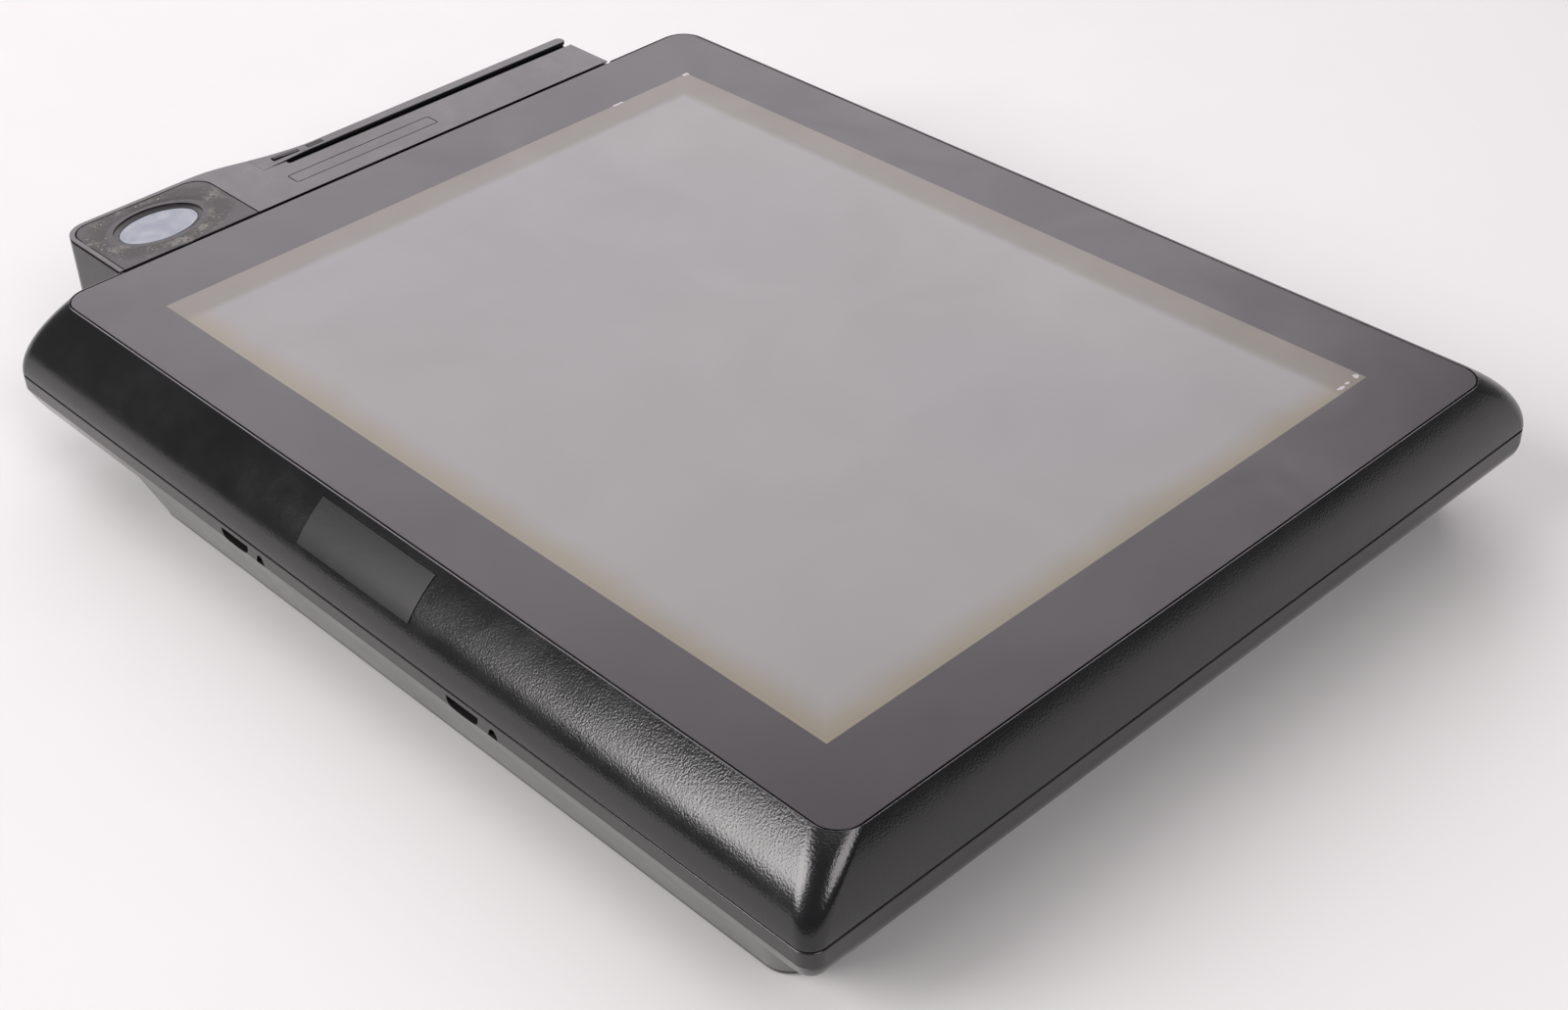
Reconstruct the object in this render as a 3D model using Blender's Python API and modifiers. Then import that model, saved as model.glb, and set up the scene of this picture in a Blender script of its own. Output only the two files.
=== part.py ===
"""Counter terminal head: a 15 inch touch display lying on its back, with its computer and a card reader.

Metres, +Z up, out of the screen. X runs along the long side of the screen and Y along the short side.
The card reader and the finger scanner sit along the -X side. In use the -Y side is the top edge.
Every place below is measured from the middle of the display head, on the plane the rear cover rests on.
One empty then carries the whole model, so that the origin falls under the middle of its box.
"""
import math

import bpy
import bmesh
from mathutils import Matrix, Vector

# Fits: what touches keeps CLEAR, what slides keeps RUNNING, and every cut runs past its wall
CLEAR = 0.0003
RUNNING = 0.0005
OVERRUN = 0.003
SINK = 0.0005
WELD = 0.00001
MERGE = 0.000001

# Screen, panel and cover glass, from the lit area outwards
SCREEN_LENGTH = 0.3041
SCREEN_WIDTH = 0.2281
PANEL_MARGIN_X = 0.0112
PANEL_MARGIN_Y = 0.0127
PANEL_DEPTH = 0.0095
PANEL_SHEET = 0.0008
WINDOW_MARGIN = 0.0027
CELL_THICKNESS = 0.0014
GLASS_BORDER_X = 0.02525
GLASS_BORDER_Y = 0.02125
GLASS_THICKNESS = 0.0018
GLASS_CORNER = 0.008
GLASS_GAP = 0.0004
TAPE_THICKNESS = 0.0008
TAPE_INSET = 0.0006

# Head: bezel above the parting line, band below it, deep housing at the back
RIM_WIDTH = 0.0017
SLOPE_X = 0.0066
SLOPE_Y = 0.0166
HEAD_CORNER = 0.0075
BEZEL_DEPTH = 0.022
BAND_DEPTH = 0.0125
HOUSING_DEPTH = 0.021
PARTING_GAP = 0.0005

# Front bezel
BEZEL_WALL = 0.0025
LEDGE_THICKNESS = 0.002
LEDGE_LAP = 0.0063
LEDGE_CORNER = 0.002
CURVE_POWER = 1.2
CURVE_STEPS = 6
SKIN_STEPS = 3

# Steel chassis under the panel, with flanges that turn up beside it and out under the bezel's ledge
CHASSIS_MARGIN = 0.00525
CHASSIS_SHEET = 0.0012
FLANGE_OUT = 0.0102
FLANGE_SCREW_INSET = 0.032

# Screws
SHANK_RADIUS = 0.0015
HOLE_RADIUS = 0.0019
HEAD_RADIUS = 0.0027
HEAD_HEIGHT = 0.0018
BLIND_DEPTH = 0.0012

# Rear cover
COVER_WALL = 0.0025
LIP_WALL = 0.0012
LIP_OVERLAP = 0.0012
BAND_ROUND_DEPTH = 0.007
BAND_ROUND_X = 0.007
BAND_ROUND_Y = 0.004
HOUSING_LEFT_MARGIN = 0.056
HOUSING_RIGHT_MARGIN = 0.0125
HOUSING_NEAR_MARGIN = 0.0044
HOUSING_FAR_MARGIN = 0.007
HOUSING_CORNER = 0.009
HOUSING_EDGE = 0.002
DRAFT_NEAR = 0.0078
DRAFT_FAR = 0.0020
DRAFT_LEFT = 0.0008
DRAFT_RIGHT = 0.0078

# Hook slots in the band on the -Y side
HOOK_WIDTH = 0.0140
HOOK_HEIGHT = 0.0036
HOOK_NIB_WIDTH = 0.0046
HOOK_NIB_HEIGHT = 0.0032
HOOK_FIRST_X = -0.0670
HOOK_PITCH = 0.1135
HOOK_NIB_OFFSET = 0.0122
HOOK_DROP = 0.0003
HOOK_REACH = 0.008
HOOK_STEPS = 8
HOOK_POWER = 0.6

# Bosses of the rear cover and their screws into the chassis
POST_RADIUS = 0.0045
POST_LEFT_MARGIN = 0.012
POST_RIGHT_MARGIN = 0.0155
POST_NEAR_MARGIN = 0.0216
POST_FAR_MARGIN = 0.029
POST_DRIVE_GAP = 0.0155
POST_SEAT = 0.027
POST_BORE = 0.0036

# Mounting plate behind the rear cover, four threads on a 100 mm square
MOUNT_PITCH = 0.100
MOUNT_PLATE_MARGIN = 0.008
MOUNT_PLATE_SHEET = 0.0015
MOUNT_PLATE_CORNER = 0.004
MOUNT_BOSS_RADIUS = 0.004
MOUNT_BOSS_HEIGHT = 0.0045
MOUNT_THREAD_RADIUS = 0.00165
MOUNT_HOLE_RADIUS = 0.0024

# Mainboard, hanging from the chassis with its parts facing the back
BOARD_WIDTH = 0.170
BOARD_THICKNESS = 0.0016
BOARD_LEFT_MARGIN = 0.020
CABLE_BAY_DEPTH = 0.055
BOARD_HOLE_INSET = 0.006
STANDOFF_LENGTH = 0.008
STANDOFF_RADIUS = 0.0028
PROCESSOR_SIZE = 0.036
PROCESSOR_HEIGHT = 0.0018
PROCESSOR_INSET = (0.095, 0.082)
SINK_SIZE = 0.060
SINK_BASE = 0.003
SINK_FIN_HEIGHT = 0.014
SINK_FIN_COUNT = 9
SINK_FIN_THICKNESS = 0.002
MEMORY_SOCKET_LENGTH = 0.070
MEMORY_SOCKET_WIDTH = 0.006
MEMORY_SOCKET_HEIGHT = 0.0045
MEMORY_INSET = (0.123, 0.046)
MEMORY_LENGTH = 0.0676
MEMORY_WIDTH = 0.027
MEMORY_THICKNESS = 0.0012
MEMORY_DROP = 0.0015
CHIP_LENGTH = 0.012
CHIP_WIDTH = 0.009
CHIP_HEIGHT = 0.0012
CHIP_COUNT = 4
CELL_RADIUS = 0.010
CELL_HEIGHT = 0.0042
CELL_INSET = (0.150, 0.080)
COIL_SIZE = 0.008
COIL_HEIGHT = 0.0055
COIL_COUNT = 5
COIL_PITCH = 0.012
COIL_INSET = (0.012, 0.122)

# Sockets along the +Y edge of the mainboard
PORT_DEPTH = 0.016
PORT_PROUD = 0.0052
PORT_SIDE_MARGIN = 0.005
PORT_GAP = 0.0058
BRACKET_SHEET = 0.0012
BRACKET_OFFSET = 0.0032
BRACKET_FLANGE = 0.008
INLET_WIDTH = 0.010
INLET_HEIGHT = 0.0115
INLET_BORE = 0.0032
INLET_PIN = 0.00105
INLET_BORE_DEPTH = 0.010
DSUB_WIDTH = 0.031
DSUB_HEIGHT = 0.0125
DSUB_FLANGE = 0.0010
DSUB_SHELL_WIDTH = 0.018
DSUB_SHELL_HEIGHT = 0.0094
DSUB_SHELL_WALL = 0.0005
DSUB_SHELL_DEPTH = 0.0055
DSUB_TAPER = 0.0010
DSUB_PIN_RADIUS = 0.0005
DSUB_PIN_PITCH = 0.00277
DSUB_PIN_ROW = 0.00284
DSUB_PIN_LENGTH = 0.0045
NETWORK_WIDTH = 0.016
NETWORK_HEIGHT = 0.0135
NETWORK_MOUTH_WIDTH = 0.012
NETWORK_MOUTH_HEIGHT = 0.0085
NETWORK_MOUTH_DEPTH = 0.012
DRAWER_PORT_WIDTH = 0.013
DRAWER_PORT_HEIGHT = 0.0125
DRAWER_MOUTH_WIDTH = 0.010
DRAWER_MOUTH_HEIGHT = 0.0072
DRAWER_MOUTH_DEPTH = 0.011
USB_WIDTH = 0.030
USB_HEIGHT = 0.016
USB_MOUTH_WIDTH = 0.0130
USB_MOUTH_HEIGHT = 0.0056
USB_MOUTH_DEPTH = 0.012
USB_TONGUE_WIDTH = 0.0110
USB_TONGUE_HEIGHT = 0.0018
USB_TONGUE_LENGTH = 0.0100

# Cable cover over the sockets
CABLE_COVER_SHEET = 0.002
CABLE_COVER_LIFT = 0.0004
CABLE_MOUTH_GAP = 0.0018
CABLE_MOUTH_LIP = 0.002
CABLE_NOTCH_WIDTH = 0.026
CABLE_NOTCH_DEPTH = 0.0085
CABLE_NOTCH_COUNT = 3
CABLE_NOTCH_PITCH = 0.050

# Drive bay in the +X side of the housing
DRIVE_LENGTH = 0.100
DRIVE_WIDTH = 0.070
DRIVE_HEIGHT = 0.007
DRIVE_NEAR_MARGIN = 0.0156
TRAY_SHEET = 0.0015
TRAY_WALL_HEIGHT = 0.0085
TRAY_FRONT_HEIGHT = 0.0102
TRAY_FRONT_SHEET = 0.0020
TRAY_FRONT_INSET = 0.008
TRAY_PULL_LENGTH = 0.024
TRAY_PULL_DEPTH = 0.0012
TRAY_PULL_HEIGHT = 0.0016
TRAY_RUNNER_WIDTH = 0.0012
TRAY_RUNNER_HEIGHT = 0.009
TRAY_RUNNER_SHARE = 0.9
BACKPLANE_THICKNESS = 0.0016
SOCKET_DEPTH = 0.004
SOCKET_WIDTH = 0.036
SOCKET_HEIGHT = 0.005

# Loudspeakers behind slots in the rear cover
SPEAKER_RADIUS = 0.018
SPEAKER_HEIGHT = 0.0110
SPEAKER_FLANGE = 0.0015
SPEAKER_MAGNET_RADIUS = 0.009
SPEAKER_MAGNET_HEIGHT = 0.004
SPEAKER_CONE_DEPTH = 0.004
SPEAKER_DOME_RADIUS = 0.005
SPEAKER_LEFT_MARGIN = 0.038
SPEAKER_DRIVE_GAP = 0.0352
SPEAKER_NEAR_MARGIN = 0.0416
SPEAKER_SLOTS = 5
SLOT_WIDTH = 0.0020
SLOT_LENGTH = 0.024
SLOT_PITCH = 0.005
VENT_MARGIN = 0.0193
VENT_LENGTH = 0.034

# Small boards under the chassis
TOUCH_BOARD_LENGTH = 0.060
TOUCH_BOARD_WIDTH = 0.030
TOUCH_BOARD_INSET = (0.0635, 0.107)
DRIVER_LENGTH = 0.075
DRIVER_WIDTH = 0.020
DRIVER_INSET = (0.0575, 0.063)
SMALL_BOARD_THICKNESS = 0.0014
SMALL_CHIP_HEIGHT = 0.0022
CABLE_RADIUS = 0.0013
CABLE_STEP = 0.004
CABLE_DROP = 0.0007
CABLE_REACH = 0.028
CABLE_SIDESTEP = 0.003

# Power button in the flat back on the -X side
BUTTON_LEFT_MARGIN = 0.031
BUTTON_FAR_MARGIN = 0.034
BUTTON_RADIUS = 0.0046
BUTTON_PROUD = 0.0008
BUTTON_FLANGE_RADIUS = 0.0060
BUTTON_FLANGE_HEIGHT = 0.0012
BUTTON_STEM_RADIUS = 0.0020
BUTTON_STEM_LENGTH = 0.0016
BUTTON_TRAVEL = 0.0012
SWITCH_SIZE = 0.0064
SWITCH_HEIGHT = 0.0036
BUTTON_BOARD_LENGTH = 0.024
BUTTON_BOARD_WIDTH = 0.016
BUTTON_POST_SIZE = 0.004

# Reader module along the -X side
MODULE_REACH = 0.0335
MODULE_SLIM_REACH = 0.0235
MODULE_NEAR_MARGIN = 0.0405
MODULE_LENGTH = 0.213
MODULE_BOTTOM = 0.029
MODULE_CORNER = 0.009
MODULE_FAR_CORNER = 0.002
MODULE_WALL = 0.002
MODULE_SINK = 0.0002
LID_THICKNESS = 0.002
LID_GAP = 0.0004
WAIST_OFFSET = 0.0515
WAIST_LENGTH = 0.046
WAIST_STEPS = 10
BOSS_LENGTH = 0.009
BOSS_WIDTH = 0.008
BOSS_HEIGHT = 0.0105
MODULE_SCREW_OFFSET = 0.0535
MODULE_SCREW_FAR_MARGIN = 0.012
MODULE_SCREW_Z = 0.0382
MODULE_SCREW_SEAT = 0.0010
MODULE_SCREW_LENGTH = 0.0090
MODULE_CABLE_OFFSET = 0.1095
MODULE_CABLE_Z = 0.0372
MODULE_CABLE_RADIUS = 0.0015
MODULE_CABLE_HOLE = 0.0021

# Swipe slot, its liner and the raised guard rail outside it
SLOT_OUT = 0.0174
SWIPE_WIDTH = 0.0026
SWIPE_DEPTH = 0.0145
SWIPE_OFFSET = 0.0825
LINER_WALL = 0.0020
LINER_RIB_WIDTH = 0.004
LINER_RIB_SHARES = (0.1, 0.5, 0.9)
GUARD_OFFSET = 0.0735
GUARD_PROUD = 0.0007
GUARD_END_RADIUS = 0.0021

# Read head in the slot, on its leaf spring, and the reader's board
READ_HEAD_OFFSET = 0.1435
READ_HEAD_LENGTH = 0.011
READ_HEAD_HEIGHT = 0.007
READ_HEAD_PROUD = 0.0005
READ_HEAD_DEPTH = 0.0034
READ_HEAD_DROP = 0.0105
LEAF_LENGTH = 0.036
LEAF_HEIGHT = 0.004
LEAF_SHEET = 0.0004
LEAF_SEAT = 0.004
READER_BOARD_LENGTH = 0.032
READER_BOARD_HEIGHT = 0.019
READER_BOARD_GAP = 0.0012

# Finger scanner: dished plate, oval window, sensor block and its board
SCANNER_OFFSET = 0.0045
SCANNER_LENGTH = 0.0505
SCANNER_MARGIN = 0.005
SCANNER_CORNER = 0.0085
WINDOW_OUT = 0.0125
WINDOW_OFFSET = 0.0265
WINDOW_LENGTH = 0.025
WINDOW_WIDTH = 0.018
WINDOW_THICKNESS = 0.0014
DISH_LENGTH = 0.036
DISH_WIDTH = 0.0275
DISH_DEPTH = 0.0024
DISH_WALL = 0.0022
SENSOR_LENGTH = 0.026
SENSOR_WIDTH = 0.0155
SENSOR_HEIGHT = 0.010
SENSOR_BOARD_LENGTH = 0.034
SENSOR_BOARD_WIDTH = 0.0165
SENSOR_POST_RADIUS = 0.0022

# Status windows in the guard rail and the plain inlay beside the slot
STATUS_WIDTH = 0.0017
STATUS_BAR_HEIGHT = 0.0010
STATUS_LONG_OFFSET = 0.0850
STATUS_LONG_LENGTH = 0.010
STATUS_SHORT_OFFSET = 0.0970
STATUS_SHORT_LENGTH = 0.0062
INLAY_LENGTH = 0.062
INLAY_WIDTH = 0.0067
INLAY_DEPTH = 0.0008
INLAY_CORNER = 0.0010
INLAY_OUT = 0.0055
INLAY_OFFSET = 0.1075

# Bare plate on the -Y slope of the bezel
PLATE_LENGTH = 0.053
PLATE_THICKNESS = 0.0006
PLATE_X = -0.0005
PLATE_CURVE_SHARES = (0.39, 0.72)
PLATE_STEPS = 6

# Counts of faces round corners and rods
CORNER_STEPS = 5
ROD_SIDES = 12
FINE_SIDES = 16
OVAL_SIDES = 28

# Lengths and widths worked out from the sizes above, from the lit area to the head's sides
PANEL_LENGTH = SCREEN_LENGTH + 2 * PANEL_MARGIN_X
PANEL_WIDTH = SCREEN_WIDTH + 2 * PANEL_MARGIN_Y
GLASS_LENGTH = SCREEN_LENGTH + 2 * GLASS_BORDER_X
GLASS_WIDTH = SCREEN_WIDTH + 2 * GLASS_BORDER_Y
RIM_X = GLASS_LENGTH / 2 + GLASS_GAP + RIM_WIDTH
RIM_Y = GLASS_WIDTH / 2 + GLASS_GAP + RIM_WIDTH
RIM_CORNER = GLASS_CORNER + GLASS_GAP + RIM_WIDTH
HEAD_X = RIM_X + SLOPE_X
HEAD_Y = RIM_Y + SLOPE_Y
LEDGE_X = PANEL_LENGTH / 2 - LEDGE_LAP
LEDGE_Y = PANEL_WIDTH / 2 - LEDGE_LAP
FLANGE_X = PANEL_LENGTH / 2 + CLEAR + CHASSIS_SHEET
CHASSIS_Y = PANEL_WIDTH / 2 + CHASSIS_MARGIN

# Levels from the back to the glass
BACK_Z = HOUSING_DEPTH
PARTING_Z = BACK_Z + BAND_DEPTH
BAND_TOP = PARTING_Z - PARTING_GAP
HEAD_TOP = PARTING_Z + BEZEL_DEPTH
GLASS_BOTTOM = HEAD_TOP - GLASS_THICKNESS
TAPE_TOP = GLASS_BOTTOM - CLEAR
LEDGE_TOP = TAPE_TOP - TAPE_THICKNESS - CLEAR
LEDGE_BOTTOM = LEDGE_TOP - LEDGE_THICKNESS
PANEL_TOP = LEDGE_BOTTOM - CLEAR
PANEL_BOTTOM = PANEL_TOP - PANEL_DEPTH
CHASSIS_TOP = PANEL_BOTTOM - CLEAR
CHASSIS_BOTTOM = CHASSIS_TOP - CHASSIS_SHEET
BOARD_TOP = CHASSIS_BOTTOM - STANDOFF_LENGTH - CLEAR
BOARD_BOTTOM = BOARD_TOP - BOARD_THICKNESS
PART_TOP = BOARD_BOTTOM - CLEAR
COVER_FLOOR = COVER_WALL + CLEAR
BACK_FLOOR = BACK_Z + COVER_WALL

# Places inside the housing, each from the wall that it keeps to
HOUSING_LEFT = HEAD_X - HOUSING_LEFT_MARGIN
HOUSING_RIGHT = HEAD_X - HOUSING_RIGHT_MARGIN
HOUSING_NEAR = HEAD_Y - HOUSING_NEAR_MARGIN
HOUSING_FAR = HEAD_Y - HOUSING_FAR_MARGIN
BOARD_LEFT = -HOUSING_LEFT + BOARD_LEFT_MARGIN
PORT_WIDTHS = (INLET_WIDTH, DSUB_WIDTH, DSUB_WIDTH, NETWORK_WIDTH, USB_WIDTH, DRAWER_PORT_WIDTH)
BOARD_LENGTH = sum(PORT_WIDTHS) + (len(PORT_WIDTHS) - 1) * PORT_GAP + 2 * PORT_SIDE_MARGIN
BOARD_RIGHT = BOARD_LEFT + BOARD_LENGTH
BOARD_FAR = HOUSING_FAR - CABLE_BAY_DEPTH
BOARD_NEAR = BOARD_FAR - BOARD_WIDTH
PORT_FACE = BOARD_FAR + PORT_PROUD
BRACKET_Y = BOARD_FAR + BRACKET_OFFSET
CABLE_MOUTH_NEAR = PORT_FACE + CABLE_MOUTH_GAP
CABLE_PLATE_FAR = HOUSING_FAR - DRAFT_FAR
DRIVE_Y = -HOUSING_NEAR + DRIVE_NEAR_MARGIN + DRIVE_WIDTH / 2
TRAY_FRONT_X = HOUSING_RIGHT - TRAY_FRONT_INSET
TRAY_BACK_X = TRAY_FRONT_X - TRAY_FRONT_SHEET - CLEAR - DRIVE_LENGTH
TRAY_NEAR = DRIVE_Y - DRIVE_WIDTH / 2 - CLEAR - TRAY_SHEET
TRAY_FAR = DRIVE_Y + DRIVE_WIDTH / 2 + CLEAR + TRAY_SHEET
SPEAKER_LEFT_X = -HOUSING_LEFT + SPEAKER_LEFT_MARGIN
SPEAKER_RIGHT_X = TRAY_BACK_X - SPEAKER_DRIVE_GAP
SPEAKER_Y = -HOUSING_NEAR + SPEAKER_NEAR_MARGIN
BUTTON_X = -HEAD_X + BUTTON_LEFT_MARGIN
BUTTON_Y = HEAD_Y - BUTTON_FAR_MARGIN

# Places in the reader module, from its near end and from the head's side
MODULE_NEAR = -HEAD_Y + MODULE_NEAR_MARGIN
MODULE_FAR = MODULE_NEAR + MODULE_LENGTH
LID_TOP = HEAD_TOP - MODULE_SINK
LID_BOTTOM = LID_TOP - LID_THICKNESS
CASE_TOP = LID_BOTTOM - LID_GAP
CASE_FLOOR = MODULE_BOTTOM + MODULE_WALL
CASE_INNER_X = -HEAD_X - CLEAR - MODULE_WALL
LID_INNER_X = -RIM_X - CLEAR
WAIST_START = MODULE_NEAR + WAIST_OFFSET
WAIST_END = WAIST_START + WAIST_LENGTH
MODULE_SCREW_NEAR = MODULE_NEAR + MODULE_SCREW_OFFSET
MODULE_SCREW_FAR = MODULE_FAR - MODULE_SCREW_FAR_MARGIN
MODULE_CABLE_Y = MODULE_NEAR + MODULE_CABLE_OFFSET
SLOT_X = -HEAD_X - SLOT_OUT
SLOT_INNER_X = SLOT_X + SWIPE_WIDTH / 2
SLOT_OUTER_X = SLOT_X - SWIPE_WIDTH / 2
SWIPE_START = MODULE_NEAR + SWIPE_OFFSET
GUARD_START = MODULE_NEAR + GUARD_OFFSET
LINER_TOP = LID_BOTTOM - CLEAR
LINER_BOTTOM = LID_TOP - SWIPE_DEPTH - LINER_WALL
LINER_INNER_X = SLOT_INNER_X + LINER_WALL
LINER_OUTER_X = SLOT_OUTER_X - LINER_WALL
READ_HEAD_Y = MODULE_NEAR + READ_HEAD_OFFSET
SCANNER_NEAR = MODULE_NEAR + SCANNER_OFFSET
SCANNER_FAR = SCANNER_NEAR + SCANNER_LENGTH
WINDOW_X = -HEAD_X - WINDOW_OUT
WINDOW_Y = MODULE_NEAR + WINDOW_OFFSET
WINDOW_TOP = LID_TOP - DISH_DEPTH - CLEAR
WINDOW_BOTTOM = WINDOW_TOP - WINDOW_THICKNESS
STATUS_LONG_Y = MODULE_NEAR + STATUS_LONG_OFFSET
STATUS_SHORT_Y = MODULE_NEAR + STATUS_SHORT_OFFSET
INLAY_X = -HEAD_X - INLAY_OUT
INLAY_Y = MODULE_NEAR + INLAY_OFFSET

# Finishes: red, green, blue in linear light, roughness, metallic
FINISHES = {
    "black_abs": (0.012, 0.012, 0.013, 0.42, 0.0),
    "black_glass": (0.010, 0.010, 0.011, 0.08, 0.0),
    "grey_panel": (0.40, 0.39, 0.38, 0.30, 0.0),
    "black_foam": (0.020, 0.020, 0.020, 0.90, 0.0),
    "bare_steel": (0.45, 0.46, 0.47, 0.38, 1.0),
    "zinc_screw": (0.50, 0.50, 0.52, 0.30, 1.0),
    "aluminium": (0.55, 0.56, 0.57, 0.35, 1.0),
    "white_sheet": (0.70, 0.70, 0.68, 0.55, 0.0),
    "green_board": (0.010, 0.085, 0.035, 0.45, 0.0),
    "black_part": (0.015, 0.015, 0.016, 0.50, 0.0),
    "blue_window": (0.42, 0.50, 0.62, 0.18, 0.0),
    "smoke_window": (0.030, 0.020, 0.022, 0.15, 0.0),
    "grey_cable": (0.060, 0.060, 0.065, 0.60, 0.0),
    "brass": (0.60, 0.45, 0.18, 0.30, 1.0),
}


def clear_scene():
    """Removes every object, so that the script can be run again."""
    for thing in list(bpy.data.objects):
        bpy.data.objects.remove(thing, do_unlink=True)


def make_collection(name):
    """Gives a new collection under the scene."""
    collection = bpy.data.collections.new(name)
    bpy.context.scene.collection.children.link(collection)
    return collection


def make_material(name, finish):
    """A Principled material in one of the finishes above."""
    red, green, blue, roughness, metallic = FINISHES[finish]
    material = bpy.data.materials.new(name)
    material.use_nodes = True
    shader = material.node_tree.nodes["Principled BSDF"]
    shader.inputs["Base Color"].default_value = (red, green, blue, 1.0)
    shader.inputs["Roughness"].default_value = roughness
    shader.inputs["Metallic"].default_value = metallic
    material.diffuse_color = (red, green, blue, 1.0)
    return material


def box(low, high):
    """A block between two corners."""
    shape = bmesh.new()
    middle = [(a + b) / 2 for a, b in zip(low, high)]
    size = [b - a for a, b in zip(low, high)]
    place = Matrix.Translation(middle) @ Matrix.Diagonal((*size, 1.0))
    bmesh.ops.create_cube(shape, size=1.0, matrix=place)
    return shape


def rod(start, end, radius, sides=ROD_SIDES, end_radius=None, squeeze=1.0):
    """A round bar or cone between two points; squeeze narrows it along X into an oval."""
    shape = bmesh.new()
    start = Vector(start)
    end = Vector(end)
    axis = end - start
    turn = axis.to_track_quat("Z", "Y").to_matrix().to_4x4()
    place = Matrix.Translation((start + end) / 2) @ Matrix.Diagonal((squeeze, 1.0, 1.0, 1.0)) @ turn
    last = radius if end_radius is None else end_radius
    bmesh.ops.create_cone(shape, cap_ends=True, segments=sides, radius1=radius, radius2=last,
                          depth=axis.length, matrix=place)
    return shape


def slab(outlines, low, high, axis="Z"):
    """Flat outlines, the first outside and the rest holes, made thick along one axis.

    The outline's two values are X and Y for a slab along Z, Y and Z along X, and X and Z along Y.
    """
    curve = bpy.data.curves.new("outline", "CURVE")
    curve.dimensions = "2D"
    curve.fill_mode = "BOTH"
    curve.extrude = (high - low) / 2
    for outline in outlines:
        spline = curve.splines.new("POLY")
        spline.points.add(len(outline) - 1)
        for point, (across, along) in zip(spline.points, outline):
            point.co = (across, along, 0.0, 1.0)
        spline.use_cyclic_u = True
    holder = bpy.data.objects.new("outline", curve)
    bpy.context.scene.collection.objects.link(holder)
    depsgraph = bpy.context.evaluated_depsgraph_get()
    mesh = bpy.data.meshes.new_from_object(holder.evaluated_get(depsgraph))
    shape = bmesh.new()
    shape.from_mesh(mesh)
    bpy.data.objects.remove(holder, do_unlink=True)
    bpy.data.curves.remove(curve)
    bpy.data.meshes.remove(mesh)
    bmesh.ops.remove_doubles(shape, verts=shape.verts, dist=MERGE)
    turns = {"Z": Matrix.Identity(4),
             "X": Matrix(((0, 0, 1, 0), (1, 0, 0, 0), (0, 1, 0, 0), (0, 0, 0, 1))),
             "Y": Matrix(((1, 0, 0, 0), (0, 0, 1, 0), (0, 1, 0, 0), (0, 0, 0, 1)))}
    shift = Matrix.Translation((0.0, 0.0, (low + high) / 2))
    bmesh.ops.transform(shape, matrix=turns[axis] @ shift, verts=shape.verts)
    bmesh.ops.recalc_face_normals(shape, faces=shape.faces)
    return shape


def loft(rings, closed=False):
    """A skin through rings of equally many points: a tube that closes on itself, or one with two caps."""
    shape = bmesh.new()
    rows = [[shape.verts.new(point) for point in ring] for ring in rings]
    pairs = list(zip(rows, rows[1:]))
    if closed:
        pairs.append((rows[-1], rows[0]))
    else:
        shape.faces.new(rows[0])
        shape.faces.new(rows[-1])
    for lower, upper in pairs:
        for here in range(len(lower)):
            there = (here + 1) % len(lower)
            shape.faces.new((lower[here], lower[there], upper[there], upper[here]))
    bmesh.ops.recalc_face_normals(shape, faces=shape.faces)
    return shape


def gather(shapes):
    """Several separate solids as one shape."""
    whole = bmesh.new()
    for shape in shapes:
        mesh = bpy.data.meshes.new("gathered")
        shape.to_mesh(mesh)
        shape.free()
        whole.from_mesh(mesh)
        bpy.data.meshes.remove(mesh)
    return whole


def rounded(left, right, near, far, radius, steps=CORNER_STEPS):
    """A rectangle with round corners, counterclockwise from the near right corner."""
    centres = ((right - radius, near + radius, -90), (right - radius, far - radius, 0),
               (left + radius, far - radius, 90), (left + radius, near + radius, 180))
    outline = []
    for x, y, first in centres:
        for step in range(steps + 1):
            angle = math.radians(first + 90 * step / steps)
            outline.append((x + radius * math.cos(angle), y + radius * math.sin(angle)))
    return outline


def ring(outline, z):
    """An outline lifted to one level."""
    return [(x, y, z) for x, y in outline]


def add_part(name, shape, finish, body=None, smooth=False):
    """Makes a named piece of the model from a shape, on the empty of its moving body if it has one."""
    mesh = bpy.data.meshes.new(name)
    thing = bpy.data.objects.new(name, mesh)
    thing.parent = BODIES[body]
    if body:
        shift = -BODIES[body].location
        bmesh.ops.translate(shape, verts=shape.verts, vec=shift)
    shape.to_mesh(mesh)
    shape.free()
    mesh.materials.append(make_material(name, finish))
    if smooth:
        mesh.shade_smooth()
        mesh.set_sharp_from_angle(angle=math.radians(35))
    PARTS.objects.link(thing)
    return thing


def add_cutter(name, shape):
    """Makes a hidden helper that cuts or joins."""
    mesh = bpy.data.meshes.new(name)
    shape.to_mesh(mesh)
    shape.free()
    thing = bpy.data.objects.new(name, mesh)
    thing.hide_render = True
    thing.display_type = "WIRE"
    thing.parent = BODIES[None]
    CUTTERS.objects.link(thing)
    return thing


def combine(thing, shape, operation):
    """Cuts a shape out of a piece, or joins it on, with an exact Boolean."""
    helper = add_cutter(f"{thing.name}_{operation.lower()}_{len(thing.modifiers)}", shape)
    change = thing.modifiers.new(operation.lower(), "BOOLEAN")
    change.operation = operation
    change.solver = "EXACT"
    change.object = helper


def cut(thing, *shapes):
    """Cuts separate shapes out of a piece."""
    combine(thing, gather(shapes), "DIFFERENCE")


def fuse(thing, *shapes):
    """Joins separate shapes onto a piece."""
    combine(thing, gather(shapes), "UNION")


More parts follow.
